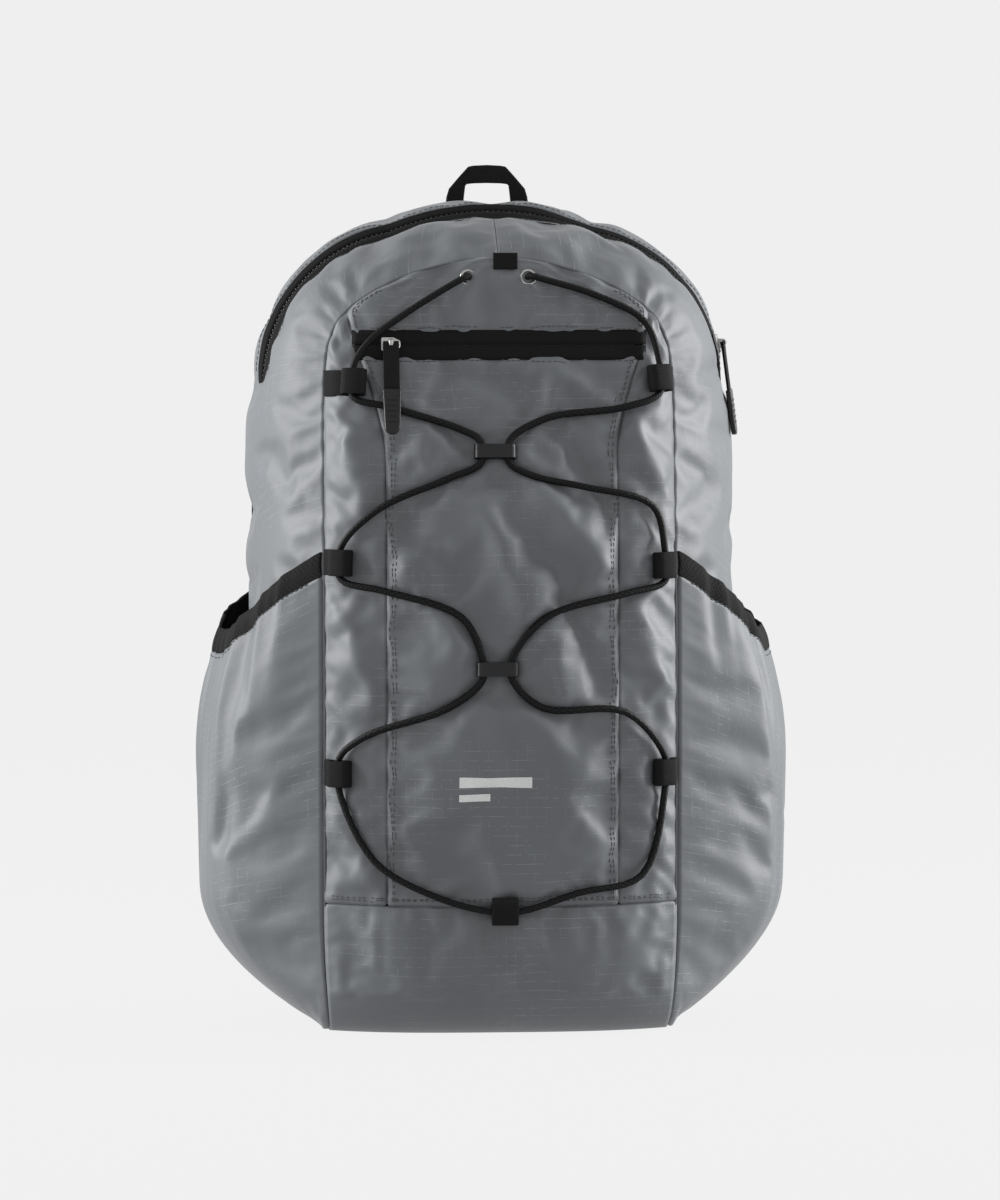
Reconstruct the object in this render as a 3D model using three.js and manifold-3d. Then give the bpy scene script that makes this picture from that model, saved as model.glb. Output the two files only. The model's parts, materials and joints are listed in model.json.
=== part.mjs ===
// A light ripstop-nylon hiking daypack, stuffed and standing on its base.
// Millimetres, +Z up. The front of the pack faces -Y, the wearer's back is at +Y, and X runs across it.
// The origin is the middle of the base panel's underside, on the ground.
//
// How it goes together: a front rim and a wider back rim, each a straight side, a shoulder and a crown,
// are joined by a gusset that bulges. Front panels fill the front rim, a padded back fills the back rim,
// and one bottom panel wraps from the front seam under the pack to the back.
import * as THREE from "three";
import { mergeVertices } from "three/addons/utils/BufferGeometryUtils.js";
import Module from "manifold-3d";

const wasm = await Module();
wasm.setup();

const { lerp, smoothstep, degToRad } = THREE.MathUtils;
const vec = (x, y, z) => new THREE.Vector3(x, y, z);

// ---- Driving dimensions ----

const FRONT_HALF = 101; // half the width of the front rim
const FRONT_TOP = 443; // height of the front rim's crown
const BACK_HALF = 136; // half the width of the back rim
const BACK_TOP = 467; // height of the back rim's crown
const FRONT_Y = -60; // the front rim at the foot
const BACK_Y = 65; // the back rim
const FRONT_LEAN = 26; // how far the front rim leans back at its crown
const LEAN_FROM = 200; // the height at which it starts to lean
const FOOT_RADIUS = 28; // the front bottom edge's rounding
const FOOT = 0.6; // the gusset's lower edge above the ground
const FRONT_BULGE = 26; // how far the stuffed front stands out of its rim
const FULLEST = 180; // the height at which it does
const SIDE_BULGE = 15; // how far the stuffed gusset stands out
const CLOTH = 2; // a cloth wall, with the air that its wrinkles hold
const GAP = 0.5; // between two panels that are sewn together
const TOUCH = 0.3; // between two pieces that touch
const WEBBING = 1.4; // a webbing's thickness
const WEBBING_WIDTH = 15; // the small loops' webbing

const LOWER_SEAM = 76; // height of the seam above the bottom panel
const PRINCESS_HALF = 66; // half the width between the two upright front seams
const PRINCESS_FLARE = 22; // how far each of them runs outwards at the top
const POCKET_ZIP_Z = 393; // middle of the front pocket's zip
const POCKET_ZIP_HEIGHT = 14;
const POCKET_ZIP_HALF = 74;

const CORD_DIAMETER = 4;
const EYELET_X = 17;
const EYELET_Z = 431;
const EYELET_HOLE = 3;
const EYELET_FLANGE = 5;

const MAIN_ZIP_Y = 12; // the main zip's plane at its top
const MAIN_ZIP_TILT = 0.12; // the share of its fall by which that plane runs back
const MAIN_ZIP_WIDTH = 7.2;
const MAIN_ZIP_END = 1.8; // where along the rim the zip ends; see Rim.at

const HEM_FRONT = 277; // the side pocket's mouth at the front seam
const HEM_BACK = 249; // and at the back seam
const HEM_DIP = 34; // how far the mouth dips between them
const HEM_WIDTH = 14;
const POCKET_BULGE = 31;

const PAD = 8; // the back panel's foam
const BACK_SWELL = 5; // how far the back panel stands out of its rim
const STRAP_TOP = 434;
const STRAP_BOTTOM = 196;
const STRAP_PAD = 9;
const STRAP_BOW = 44; // how far a strap stands off the back panel
const ADJUSTER_WIDTH = 20;

// ---- Colours and finishes ----

const finish = (color, roughness, metalness = 0) =>
  new THREE.MeshStandardMaterial({ color, roughness, metalness });
const RIPSTOP = finish(0x6f7275, 0.5);
const BLACK_WEBBING = finish(0x161616, 0.85);
const BLACK_PLASTIC = finish(0x1a1a1a, 0.4);
const ZIP_TAPE = finish(0x121212, 0.7);
const AIR_MESH = finish(0x2a2b2d, 0.95);
const FOAM = finish(0x8d8d8a, 0.9);
const NICKEL = finish(0x8a8a88, 0.3, 1);
const PRINT = finish(0xc9cbcc, 0.4);

const pack = new THREE.Group();

function piece(name, geometry, material, parent = pack) {
  const mesh = new THREE.Mesh(geometry, material);
  mesh.name = name;
  parent.add(mesh);
  return mesh;
}

// ---- The two rims ----

// The edge of a panel seen from the front. It runs up a straight side, round a wide side arc, a tighter
// shoulder arc and a flat crown arc, each flowing into the next. The shoulder's radius follows from the width.
class Rim {
  constructor({ half, top, crown, crownTurn, side, sideTurn, tuck }) {
    this.half = half;
    this.top = top;
    this.tuck = tuck;
    this.angles = [0, sideTurn, 90 - crownTurn, 90].map(degToRad);
    const [, low, high] = this.angles;
    const shoulder =
      (half - crown * Math.cos(high) - side * (1 - Math.cos(low))) / (Math.cos(low) - Math.cos(high));
    const crownCentre = { x: 0, z: top - crown };
    const shoulderCentre = {
      x: (crown - shoulder) * Math.cos(high),
      z: crownCentre.z + (crown - shoulder) * Math.sin(high),
    };
    const sideCentre = {
      x: shoulderCentre.x + (shoulder - side) * Math.cos(low),
      z: shoulderCentre.z + (shoulder - side) * Math.sin(low),
    };
    this.arcs = [
      { centre: sideCentre, radius: side },
      { centre: shoulderCentre, radius: shoulder },
      { centre: crownCentre, radius: crown },
    ];
    this.spring = sideCentre.z;
  }

  // The straight side draws in towards the foot.
  sideHalf(z) {
    return this.half - this.tuck * Math.max(0, 1 - z / TUCK_HEIGHT) ** 2;
  }

  // u from 0 to 1 runs up the side, 1 to 2 the side arc, 2 to 3 the shoulder and 3 to 4 the crown.
  at(u) {
    if (u <= 1) {
      const z = lerp(FOOT, this.spring, u);
      return { x: this.sideHalf(z), z, angle: 0 };
    }
    const i = Math.min(2, Math.floor(u - 1));
    const angle = lerp(this.angles[i], this.angles[i + 1], u - 1 - i);
    const { centre, radius } = this.arcs[i];
    return { x: centre.x + radius * Math.cos(angle), z: centre.z + radius * Math.sin(angle), angle };
  }

  // Half the rim's width at a height.
  halfAt(z) {
    if (z <= this.spring) return this.sideHalf(z);
    const reached = (i) => this.arcs[i].centre.z + this.arcs[i].radius * Math.sin(this.angles[i + 1]);
    const i = z < reached(0) ? 0 : z < reached(1) ? 1 : 2;
    const { centre, radius } = this.arcs[i];
    return centre.x + Math.sqrt(Math.max(0, radius ** 2 - (z - centre.z) ** 2));
  }
}

const TUCK_HEIGHT = 70;
const frontRim = new Rim({
  half: FRONT_HALF, top: FRONT_TOP, crown: 143, crownTurn: 34, side: 400, sideTurn: 6, tuck: 4,
});
const backRim = new Rim({
  half: BACK_HALF, top: BACK_TOP, crown: 400, crownTurn: 5, side: 600, sideTurn: 7, tuck: 34,
});

// ---- The pack's outer surfaces ----

// How far back the front rim is at a height: it rounds under at the foot and leans back at the top.
function rimY(z) {
  const under = Math.min(FOOT_RADIUS, Math.max(0, FOOT_RADIUS - z));
  const foot = FOOT_RADIUS - Math.sqrt(FOOT_RADIUS ** 2 - under ** 2);
  return FRONT_Y + foot + FRONT_LEAN * smoothstep(z, LEAN_FROM, FRONT_TOP);
}

// The stuffed front, as a height over the XZ plane: flat in the middle and falling back to the rim.
function frontY(x, z) {
  const up = Math.max(0, (z - FULLEST) / (FRONT_TOP - FULLEST));
  const down = Math.max(0, (FULLEST - z) / FULLEST);
  const squareness = 3.2 + 4.5 * smoothstep(z, 240, 360);
  const across = 1 - Math.min(1, Math.abs(x) / frontRim.halfAt(z)) ** squareness;
  return rimY(z) - FRONT_BULGE * (1 - up ** 3) * (1 - 0.35 * down ** 2) * across;
}

// A point at a distance above the front surface.
const onFront = (x, z, lift = 0) => vec(x, frontY(x, z) - lift, z);

// The gusset between the rims: side is -1 or 1, u as in Rim.at, s from 0 at the front rim to 1 at the back.
function gussetPoint(side, u, s, lift = 0) {
  const front = frontRim.at(u);
  const back = backRim.at(u);
  const z = lerp(front.z, back.z, s);
  const angle = lerp(front.angle, back.angle, s);
  const full = SIDE_BULGE * (1 - Math.abs(2 * s - 1) ** 2.5) * smoothstep(z, 0, 80) + lift;
  return vec(
    side * (lerp(front.x, back.x, s) + full * Math.cos(angle)),
    lerp(rimY(front.z), BACK_Y, s),
    z + full * Math.sin(angle),
  );
}

// ---- Building closed skins ----

const steps = (from, to, count) => Array.from({ length: count + 1 }, (_, i) => lerp(from, to, i / count));

function closed(position, index) {
  const geometry = new THREE.BufferGeometry();
  geometry.setAttribute("position", new THREE.Float32BufferAttribute(position, 3));
  geometry.setIndex(index);
  return geometry;
}

// A closed wall whose outer face follows point(u, v) and whose inner face lies inside it by inward(u, v).
// Cells for which open(i, j) is true are left out, with walls round the hole.
function skin(point, inward, us, vs, open = () => false) {
  const position = [];
  for (const u of us) {
    for (const v of vs) {
      const outer = point(u, v);
      const inner = outer.clone().add(inward(u, v, outer));
      position.push(...outer.toArray(), ...inner.toArray());
    }
  }
  const outerOf = (i, j) => 2 * (i * vs.length + j);
  const has = (i, j) => i >= 0 && j >= 0 && i < us.length - 1 && j < vs.length - 1 && !open(i, j);
  const index = [];
  const quad = (a, b, c, d) => index.push(a, b, c, a, c, d);
  for (let i = 0; i < us.length - 1; i++) {
    for (let j = 0; j < vs.length - 1; j++) {
      if (!has(i, j)) continue;
      const [a, b, c, d] = [outerOf(i, j), outerOf(i + 1, j), outerOf(i + 1, j + 1), outerOf(i, j + 1)];
      quad(a, b, c, d);
      quad(a + 1, d + 1, c + 1, b + 1);
      const wall = (p, q) => quad(p, p + 1, q + 1, q);
      if (!has(i, j - 1)) wall(a, b);
      if (!has(i + 1, j)) wall(b, c);
      if (!has(i, j + 1)) wall(c, d);
      if (!has(i - 1, j)) wall(d, a);
    }
  }
  const geometry = closed(position, index);
  return volumeOf(geometry) < 0 ? closed(position, index.reverse()) : geometry;
}

function volumeOf(geometry) {
  const p = geometry.getAttribute("position");
  const corner = (i) => new THREE.Vector3().fromBufferAttribute(p, geometry.index.getX(i));
  let six = 0;
  for (let i = 0; i < geometry.index.count; i += 3) {
    six += corner(i).dot(corner(i + 1).cross(corner(i + 2)));
  }
  return six / 6;
}

// The direction straight into the pack from a surface, as a wall's thickness.
function inwardOf(point, wall, middle) {
  const d = 0.01;
  return (u, v, at) => {
    const alongU = point(u + d, v).sub(point(u - d, v));
    const alongV = point(u, v + d).sub(point(u, v - d));
    const normal = alongU.cross(alongV).normalize();
    return normal.multiplyScalar(normal.dot(middle.clone().sub(at)) > 0 ? wall : -wall);
  };
}

const straightBack = (wall) => () => vec(0, wall, 0);
const MIDDLE = vec(0, 5, 220);

// ---- Booleans ----

function solid(geometry) {
  const bare = geometry.index ? geometry.clone() : geometry;
  const only = new THREE.BufferGeometry().setAttribute("position", bare.getAttribute("position"));
  if (bare.index) only.setIndex(bare.index);
  const merged = mergeVertices(only, 1e-4);
  return new wasm.Manifold(
    new wasm.Mesh({
      numProp: 3,
      vertProperties: new Float32Array(merged.getAttribute("position").array),
      triVerts: new Uint32Array(merged.index.array),
    }),
  );
}

function geometryOf(manifold) {
  const mesh = manifold.getMesh();
  return closed([...mesh.vertProperties], [...mesh.triVerts]);
}

const join = (...parts) => geometryOf(parts.map(solid).reduce((a, b) => a.add(b)));
const cut = (whole, ...tools) => geometryOf(tools.map(solid).reduce((a, b) => a.subtract(b), solid(whole)));

// ---- Gusset and main zip ----

// Where along s the main zip's middle lies, so that the zip stays in one slanting plane.
function zipShare(u) {
  const front = frontRim.at(u);
  const y = MAIN_ZIP_Y + MAIN_ZIP_TILT * (BACK_TOP - front.z);
  const frontEdge = rimY(front.z);
  return (y - frontEdge) / (BACK_Y - frontEdge);
}

// Across the gusset, c from 0 to 1 is before the zip, 1 to 2 the zip's slot and 2 to 3 behind it.
function acrossGusset(u, c) {
  const middle = zipShare(u);
  const half = MAIN_ZIP_WIDTH / 2 / (BACK_Y - rimY(frontRim.at(u).z));
  if (c <= 1) return c * (middle - half);
  if (c <= 2) return middle + (2 * c - 3) * half;
  return lerp(middle + half, 1, c - 2);
}

const ROWS = [
  ...steps(0, 0.24, 3), ...steps(0.24, 1, 5).slice(1), ...steps(1, MAIN_ZIP_END, 1).slice(1), 2,
  ...steps(2, 3, 8).slice(1), ...steps(3, 4, 4).slice(1),
];
const COLUMNS = [...steps(0, 1, 3), 2, ...steps(2, 3, 3).slice(1)];
const SLOT_COLUMN = 3;

function gusset(side) {
  const top = 4 - GAP / 100; // the two halves meet at the crown's middle seam
  const point = (u, c) => gussetPoint(side, u, acrossGusset(u, c));
  const inward = inwardOf((u, c) => point(Math.max(u, 0.02), Math.min(Math.max(c, 0.02), 2.98)), CLOTH, MIDDLE);
  const slot = (i, j) => j === SLOT_COLUMN && ROWS[i] >= MAIN_ZIP_END;
  return skin(point, inward, ROWS.map((u) => Math.min(u, top)), COLUMNS, slot);
}
piece("gusset_left", gusset(-1), RIPSTOP);
piece("gusset_right", gusset(1), RIPSTOP);

// A strip in the main zip's slot, from its left end over the top to its right end. It spans the shares
// from and to of the slot's width, and depth and wall are how far its faces lie under the gusset's surface.
function zipStrip(from, to, depth, wall) {
  const rows = [MAIN_ZIP_END + 0.03, ...ROWS.filter((u) => u >= 2)];
  const along = [...rows.map((u) => u - 4), ...rows.slice(0, -1).map((u) => 4 - u).reverse()];
  const at = (w, c, down) => {
    const u = 4 - Math.abs(w);
    return gussetPoint(w < 0 ? -1 : 1, u, acrossGusset(u, 1 + c), -down);
  };
  const point = (w, c) => at(w, c, depth);
  return skin(point, (w, c, outer) => at(w, c, depth + wall).sub(outer), along, [from, to]);
}
const tapeEdge = 0.8 / MAIN_ZIP_WIDTH;
piece("main_zip_tape_front", zipStrip(tapeEdge, 0.37, 0.5, 1), ZIP_TAPE);
piece("main_zip_coil", zipStrip(0.42, 0.58, 0.2, 1.6), ZIP_TAPE);
piece("main_zip_tape_rear", zipStrip(0.63, 1 - tapeEdge, 0.5, 1), ZIP_TAPE);

// ---- Front panels ----

// A panel of the front between two edges given as functions of height, set in from the gusset's wall.
const rimInset = CLOTH + GAP;
const princess = (z) =>
  Math.min(PRINCESS_HALF + PRINCESS_FLARE * smoothstep(z, 330, 425), frontRim.halfAt(z) - rimInset);

function frontPanel(left, right, zs, columns, depth = 0, wall = CLOTH) {
  const point = (z, c) => onFront(lerp(left(z), right(z), c), z, -depth);
  return skin(point, straightBack(wall), zs, steps(0, 1, columns));
}

const zipTop = POCKET_ZIP_Z + POCKET_ZIP_HEIGHT / 2;
const zipBottom = POCKET_ZIP_Z - POCKET_ZIP_HEIGHT / 2;

// The yoke over the pocket zip, with the two eyelet holes.
function yoke() {
  const zs = [...steps(zipTop + GAP, 432, 4), 436, 439, FRONT_TOP - 2];
  const panel = frontPanel((z) => -princess(z) + GAP / 2, (z) => princess(z) - GAP / 2, zs, 8);
  const hole = (x) => {
    const cylinder = new THREE.CylinderGeometry(EYELET_HOLE + 1, EYELET_HOLE + 1, 20, 16);
    const place = seat(onFront(x, EYELET_Z), frontNormal(x, EYELET_Z), vec(0, 0, 1));
    return cylinder.applyMatrix4(place);
  };
  return cut(panel, hole(-EYELET_X), hole(EYELET_X));
}
piece("yoke_panel", yoke(), RIPSTOP);
piece(
  "front_centre_panel",
  frontPanel(
    (z) => -princess(z) + GAP / 2, (z) => princess(z) - GAP / 2, steps(LOWER_SEAM + GAP, zipBottom - GAP, 12), 8,
  ),
  RIPSTOP,
);

// The strips between the upright seams and the gusset end in a point at the shoulder.
const STRIP_TOP = 406;
for (const [name, side] of [["left", -1], ["right", 1]]) {
  const inner = (z) => side * (princess(z) + GAP / 2);
  const outer = (z) => side * (frontRim.halfAt(z) - rimInset);
  piece(`front_strip_${name}`, frontPanel(inner, outer, steps(LOWER_SEAM + GAP, STRIP_TOP, 13), 3), RIPSTOP);
}

// The bottom panel: down the front from the lower seam, round under it and back along the ground.
function bottomPanel() {
  const flatFrom = FRONT_Y + FOOT_RADIUS;
  const at = (v) => {
    if (v <= 1) return { z: lerp(LOWER_SEAM, FOOT_RADIUS, v), back: null };
    if (v <= 2) return { z: FOOT_RADIUS * (1 - Math.sin((v - 1) * Math.PI / 2)), back: null };
    return { z: 0, back: v - 2 };
  };
  const point = (v, c) => {
    const { z, back } = at(v);
    const share = back === null ? 0 : back;
    const half = lerp(frontRim.halfAt(z), backRim.sideHalf(FOOT), share) - rimInset;
    const x = lerp(-half, half, c);
    const bulge = rimY(z) - frontY(x, z);
    if (v <= 1) return vec(x, frontY(x, z), z);
    const under = v <= 2 ? FOOT_RADIUS * (1 - Math.cos((v - 1) * Math.PI / 2)) : FOOT_RADIUS;
    const y = v <= 2 ? FRONT_Y - bulge + under : lerp(flatFrom - bulge, BACK_Y - rimInset, back);
    return vec(x, y, z);
  };
  const inward = (v) => {
    const turn = v <= 1 ? 0 : Math.min(1, v - 1) * Math.PI / 2;
    return vec(0, CLOTH * Math.cos(turn), CLOTH * Math.sin(turn));
  };
  return skin(point, inward, [...steps(0, 1, 3), ...steps(1, 2, 5).slice(1), ...steps(2, 3, 3).slice(1)], steps(0, 1, 8));
}
piece("bottom_panel", bottomPanel(), RIPSTOP);

// The front pocket's inner wall shuts the pocket off from the main compartment.
function pocketWall() {
  const low = LOWER_SEAM + 4;
  const high = zipTop - 1;
  const point = (z, c) => {
    const half = frontRim.halfAt(z) - rimInset - 1;
    const x = lerp(-half, half, c);
    const apart = smoothstep(z, low, low + 60) * (1 - smoothstep(z, high - 60, high));
    const near = frontY(x, z) + CLOTH + 1;
    return vec(x, lerp(near, rimY(z) + CLOTH + 1, apart), z);
  };
  return skin(point, straightBack(1), steps(low, high, 12), steps(0, 1, 8));
}
piece("pocket_inner_wall", pocketWall(), RIPSTOP);

// ---- Front pocket zip ----

const zipEnd = POCKET_ZIP_HALF - GAP;
const zipLevels = (from, to) => [POCKET_ZIP_Z + from, POCKET_ZIP_Z + to];
const along = (half, columns) => [() => -half, () => half, columns];
function pocketZipStrip(from, to, depth, wall) {
  const [left, right, columns] = along(zipEnd, 12);
  return frontPanel(left, right, zipLevels(from, to), columns, depth, wall);
}
const tapeHalf = POCKET_ZIP_HEIGHT / 2 - TOUCH;
piece("pocket_zip_tape_upper", pocketZipStrip(1.2, tapeHalf, 0.2, 1), ZIP_TAPE);
piece("pocket_zip_coil", pocketZipStrip(-0.9, 0.9, 0, 1.8), ZIP_TAPE);
piece("pocket_zip_tape_lower", pocketZipStrip(-tapeHalf, -1.2, 0.2, 1), ZIP_TAPE);

// ---- Zip sliders and their pulls ----

// The direction straight out of the front surface.
function frontNormal(x, z) {
  const d = 0.5;
  const alongX = onFront(x + d, z).sub(onFront(x - d, z));
  const alongZ = onFront(x, z + d).sub(onFront(x, z - d));
  return alongX.cross(alongZ).normalize();
}

const liftedFront = (x, z, lift) => onFront(x, z).addScaledVector(frontNormal(x, z), lift);

// Takes a shape's own x and y to the given directions, and its thickness to their cross product.
const turned = (geometry, x, y) =>
  geometry.applyMatrix4(new THREE.Matrix4().makeBasis(x, y, x.clone().cross(y)));

// The place of a fitting whose own -Y faces outward and whose own Z points up as far as it can.
function seat(origin, outward, up) {
  const back = outward.clone().negate().normalize();
  const across = back.clone().cross(up).normalize();
  return new THREE.Matrix4().makeBasis(across, back, across.clone().cross(back)).setPosition(origin);
}

const outlineOf = (points) => new THREE.Shape(points.map(([x, y]) => new THREE.Vector2(x, y)));
const slab = (shape, depth, curveSegments = 6) =>
  new THREE.ExtrudeGeometry(shape, { depth, bevelEnabled: false, curveSegments });

// A slider stands on its own XZ plane and faces -Y. Its pull hangs down from the hole in the bail.
const SLIDER_HALF = 5.5;
const SLIDER_WIDTH = 4; // half its width
const SLIDER_BODY = 1.8;
const BAIL_HEIGHT = 4.3; // the hole's middle over the slider's underside
const BAIL_HOLE = 1.3;
const BAIL_WIDTH = 2.4;
const PULL_STRAP = 28;
const PULL_GRIP = 26;
const PULL_HALF = 4.5;

function slider(turn) {
  const body = outlineOf([
    [-SLIDER_HALF, -SLIDER_WIDTH], [1.5, -SLIDER_WIDTH], [SLIDER_HALF, -SLIDER_WIDTH / 2],
    [SLIDER_HALF, SLIDER_WIDTH / 2], [1.5, SLIDER_WIDTH], [-SLIDER_HALF, SLIDER_WIDTH],
  ]);
  const plate = slab(body, SLIDER_BODY).rotateX(Math.PI / 2).rotateY(turn);
  const top = BAIL_HOLE + 0.9;
  const arch = outlineOf([[-3, SLIDER_BODY - 0.4], [3, SLIDER_BODY - 0.4], [top, BAIL_HEIGHT]]);
  arch.absarc(0, BAIL_HEIGHT, top, 0, Math.PI, false);
  arch.holes.push(new THREE.Path().absarc(0, BAIL_HEIGHT, BAIL_HOLE, 0, 2 * Math.PI, true));
  const bail = slab(arch, BAIL_WIDTH, 8).translate(0, 0, -BAIL_WIDTH / 2);
  return join(plate, turned(bail, vec(0, 0, 1), vec(0, -1, 0)));
}

// The webbing of a pull: its top edge is the bar that runs through the bail's hole.
function pullStrap() {
  const bar = WEBBING / 2;
  const strap = outlineOf([[-PULL_HALF, -PULL_STRAP], [PULL_HALF, -PULL_STRAP], [PULL_HALF, bar], [-PULL_HALF, bar]]);
  const window = BAIL_WIDTH / 2 + 0.4;
  strap.holes.push(outlineOf([[-window, -4.6], [-window, -bar], [window, -bar], [window, -4.6]]));
  return slab(strap, WEBBING).rotateX(Math.PI / 2).translate(0, WEBBING / 2, 0);
}

// The moulded grip on a pull's end narrows to a rounded tip.
function pullGrip() {
  const top = -PULL_STRAP - TOUCH;
  const tip = 4.4;
  const grip = outlineOf([[6, top], [-6, top], [-tip, top - PULL_GRIP + tip]]);
  grip.absarc(0, top - PULL_GRIP + tip, tip, Math.PI, 2 * Math.PI, false);
  return slab(grip, 2.4).rotateX(Math.PI / 2).translate(0, 1.2, 0);
}

// A slider, its strap and its grip, each in its own node; tilt swings the pull out from the slider's plane.
function zipPull(name, place, turn, tilt) {
  piece(`${name}_slider`, slider(turn).applyMatrix4(place), NICKEL);
  const hang = (geometry) => geometry.rotateX(-tilt).translate(0, -BAIL_HEIGHT, 0).applyMatrix4(place);
  piece(`${name}_pull_strap`, hang(pullStrap()), BLACK_WEBBING);
  piece(`${name}_pull_grip`, hang(pullGrip()), BLACK_PLASTIC);
}

const POCKET_SLIDER_X = -62;
const UP = vec(0, 0, 1);
const pocketSliderPlace = seat(
  liftedFront(0, POCKET_ZIP_Z, TOUCH).add(vec(POCKET_SLIDER_X, 0, 0)), frontNormal(0, POCKET_ZIP_Z), UP,
);
zipPull("pocket_zip", pocketSliderPlace, 0, degToRad(2.6));

// The main zip's slider rides the right shoulder's arc, near the zip's right-hand end.
const MAIN_SLIDER_U = 2.1;
function mainSliderPlace() {
  const at = (u, lift) => gussetPoint(1, u, zipShare(u), lift);
  const here = at(MAIN_SLIDER_U, 0);
  const along = at(MAIN_SLIDER_U + 0.05, 0).sub(at(MAIN_SLIDER_U - 0.05, 0)).normalize();
  const share = zipShare(MAIN_SLIDER_U);
  const across = gussetPoint(1, MAIN_SLIDER_U, share + 0.02).sub(gussetPoint(1, MAIN_SLIDER_U, share - 0.02));
  const outward = across.cross(along).normalize();
  if (outward.x < 0) outward.negate();
  return seat(here.addScaledVector(outward, 0.6), outward, along);
}
zipPull("main_zip", mainSliderPlace(), -Math.PI / 2, degToRad(-7));

// ---- Side pockets ----

const POCKET_EDGE = 0.035; // where across the gusset a side pocket starts, and ends as far from the back
const POCKET_SEAM = 1.1; // its wall above the gusset at its seams

const hemLine = (s) => lerp(HEM_FRONT, HEM_BACK, s) - HEM_DIP * Math.sin(Math.PI * s);

// Point on a side pocket's outside: s across the gusset, z its height.
function pocketPoint(side, s, z) {
  const spring = lerp(frontRim.spring, backRim.spring, s);
  const v = z / hemLine(s);
  const rise = 1 - Math.max(0, 1 - v / 0.65) ** 5;
  const fall = 1 - 0.45 * (Math.max(0, v - 0.65) / 0.35) ** 2;
  const across = 1 - Math.min(1, Math.abs((2 * s - 1) / (1 - 2 * POCKET_EDGE))) ** 3;
  const lift = CLOTH + POCKET_SEAM + POCKET_BULGE * rise * fall * across;
  return gussetPoint(side, (z - FOOT) / (spring - FOOT), s, lift);
}

// A side pocket's skin between two heights, given as functions of where along its mouth they lie.
function pocketSkin(side, bottom, top, rows) {
  const point = (v, s) => {
    const kept = THREE.MathUtils.clamp(s, POCKET_EDGE, 1 - POCKET_EDGE);
    return pocketPoint(side, kept, lerp(bottom(kept), top(kept), v));
  };
  return skin(point, inwardOf(point, CLOTH, MIDDLE), rows, steps(POCKET_EDGE, 1 - POCKET_EDGE, 10));
}

for (const [name, side] of [["left", -1], ["right", 1]]) {
  const seam = (s) => hemLine(s) - HEM_WIDTH;
  const rows = [0, 0.03, 0.08, 0.16, ...steps(0.3, 1, 5)];
  piece(`side_pocket_${name}`, pocketSkin(side, () => FOOT + 1, (s) => seam(s) - GAP, rows), RIPSTOP);
  piece(`side_pocket_hem_${name}`, pocketSkin(side, seam, hemLine, [0, 1]), BLACK_WEBBING);
}

// ---- Webbing loops that hold the cord ----

const LOOP_HOLE = 2.9; // half the height of the space that the cord runs through
const CORD_IN_LOOP = TOUCH + WEBBING + LOOP_HOLE; // the cord's height over the front inside a loop

function stadium(half, radius, path = new THREE.Shape()) {
  path.absarc(half, 0, radius, -Math.PI / 2, Math.PI / 2, false);
  path.absarc(-half, 0, radius, Math.PI / 2, 1.5 * Math.PI, false);
  return path;
}

// A webbing ring round the cord: span is its length along own X, and the cord runs through it along own Z.
function webbingLoop(span, width) {
  const half = span / 2 - LOOP_HOLE - WEBBING;
  const ring = stadium(half, LOOP_HOLE + WEBBING);
  ring.holes.push(stadium(half, LOOP_HOLE, new THREE.Path()));
  return slab(ring, width).translate(0, 0, -width / 2);
}

function loopAt(name, x, z, span, up) {
  const place = seat(liftedFront(x, z, CORD_IN_LOOP), frontNormal(x, z), up);
  piece(name, webbingLoop(span, WEBBING_WIDTH).applyMatrix4(place), BLACK_WEBBING);
}

const SIDE_LOOPS = [
  ["loop_left_upper", -82, 371], ["loop_left_middle", -89, 270], ["loop_left_lower", -90, 151],
  ["loop_right_upper", 89, 373], ["loop_right_middle", 90, 268], ["loop_right_lower", 90, 151],
];
for (const [name, x, z] of SIDE_LOOPS) loopAt(name, x, z, 15, UP);
loopAt("loop_bottom", 0.5, LOWER_SEAM - 2, 16, vec(1, 0, 0));

// A folded webbing tab on the crown seam.
const topTab = new THREE.BoxGeometry(14, 2.4, 10).translate(4, rimY(FRONT_TOP) - 4.2, 441);
piece("top_tab", topTab, BLACK_WEBBING);

// ---- Eyelets, knots and the cord ----

// A ring turned about the axis that runs straight out of the front at a point.
function ringAt(x, z, profile) {
  const place = seat(onFront(x, z), frontNormal(x, z), UP);
  const ring = new THREE.LatheGeometry(profile.map(([r, y]) => new THREE.Vector2(r, y)), 20);
  return geometryOf(solid(ring.rotateX(Math.PI))).applyMatrix4(place);
}

const EYELET_FACE = 1.3;
const EYELET_BACK = -CLOTH - 1.1;
const KNOT_FROM = -CLOTH - 2.6;
for (const [name, x] of [["left", -EYELET_X], ["right", EYELET_X]]) {
  const barrel = EYELET_HOLE + 0.6;
  const grommet = [
    [EYELET_HOLE, EYELET_FACE], [EYELET_HOLE, EYELET_BACK - 0.8], [EYELET_FLANGE, EYELET_BACK - 0.8],
    [EYELET_FLANGE, EYELET_BACK], [barrel, EYELET_BACK], [barrel, 0.5], [EYELET_FLANGE, 0.5],
    [EYELET_FLANGE, EYELET_FACE], [EYELET_HOLE, EYELET_FACE],
  ];
  piece(`eyelet_${name}`, ringAt(x, EYELET_Z, grommet), NICKEL);
  const bore = CORD_DIAMETER / 2 + TOUCH;
  const knot = [
    [bore, KNOT_FROM - 1.5], [bore, KNOT_FROM - 8.5], [4.4, KNOT_FROM - 9], [6, KNOT_FROM - 6.5],
    [6, KNOT_FROM - 3.5], [4.4, KNOT_FROM - 1], [bore, KNOT_FROM - 1.5],
  ];
  piece(`cord_knot_${name}`, ringAt(x, EYELET_Z, knot), BLACK_WEBBING);
}

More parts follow.
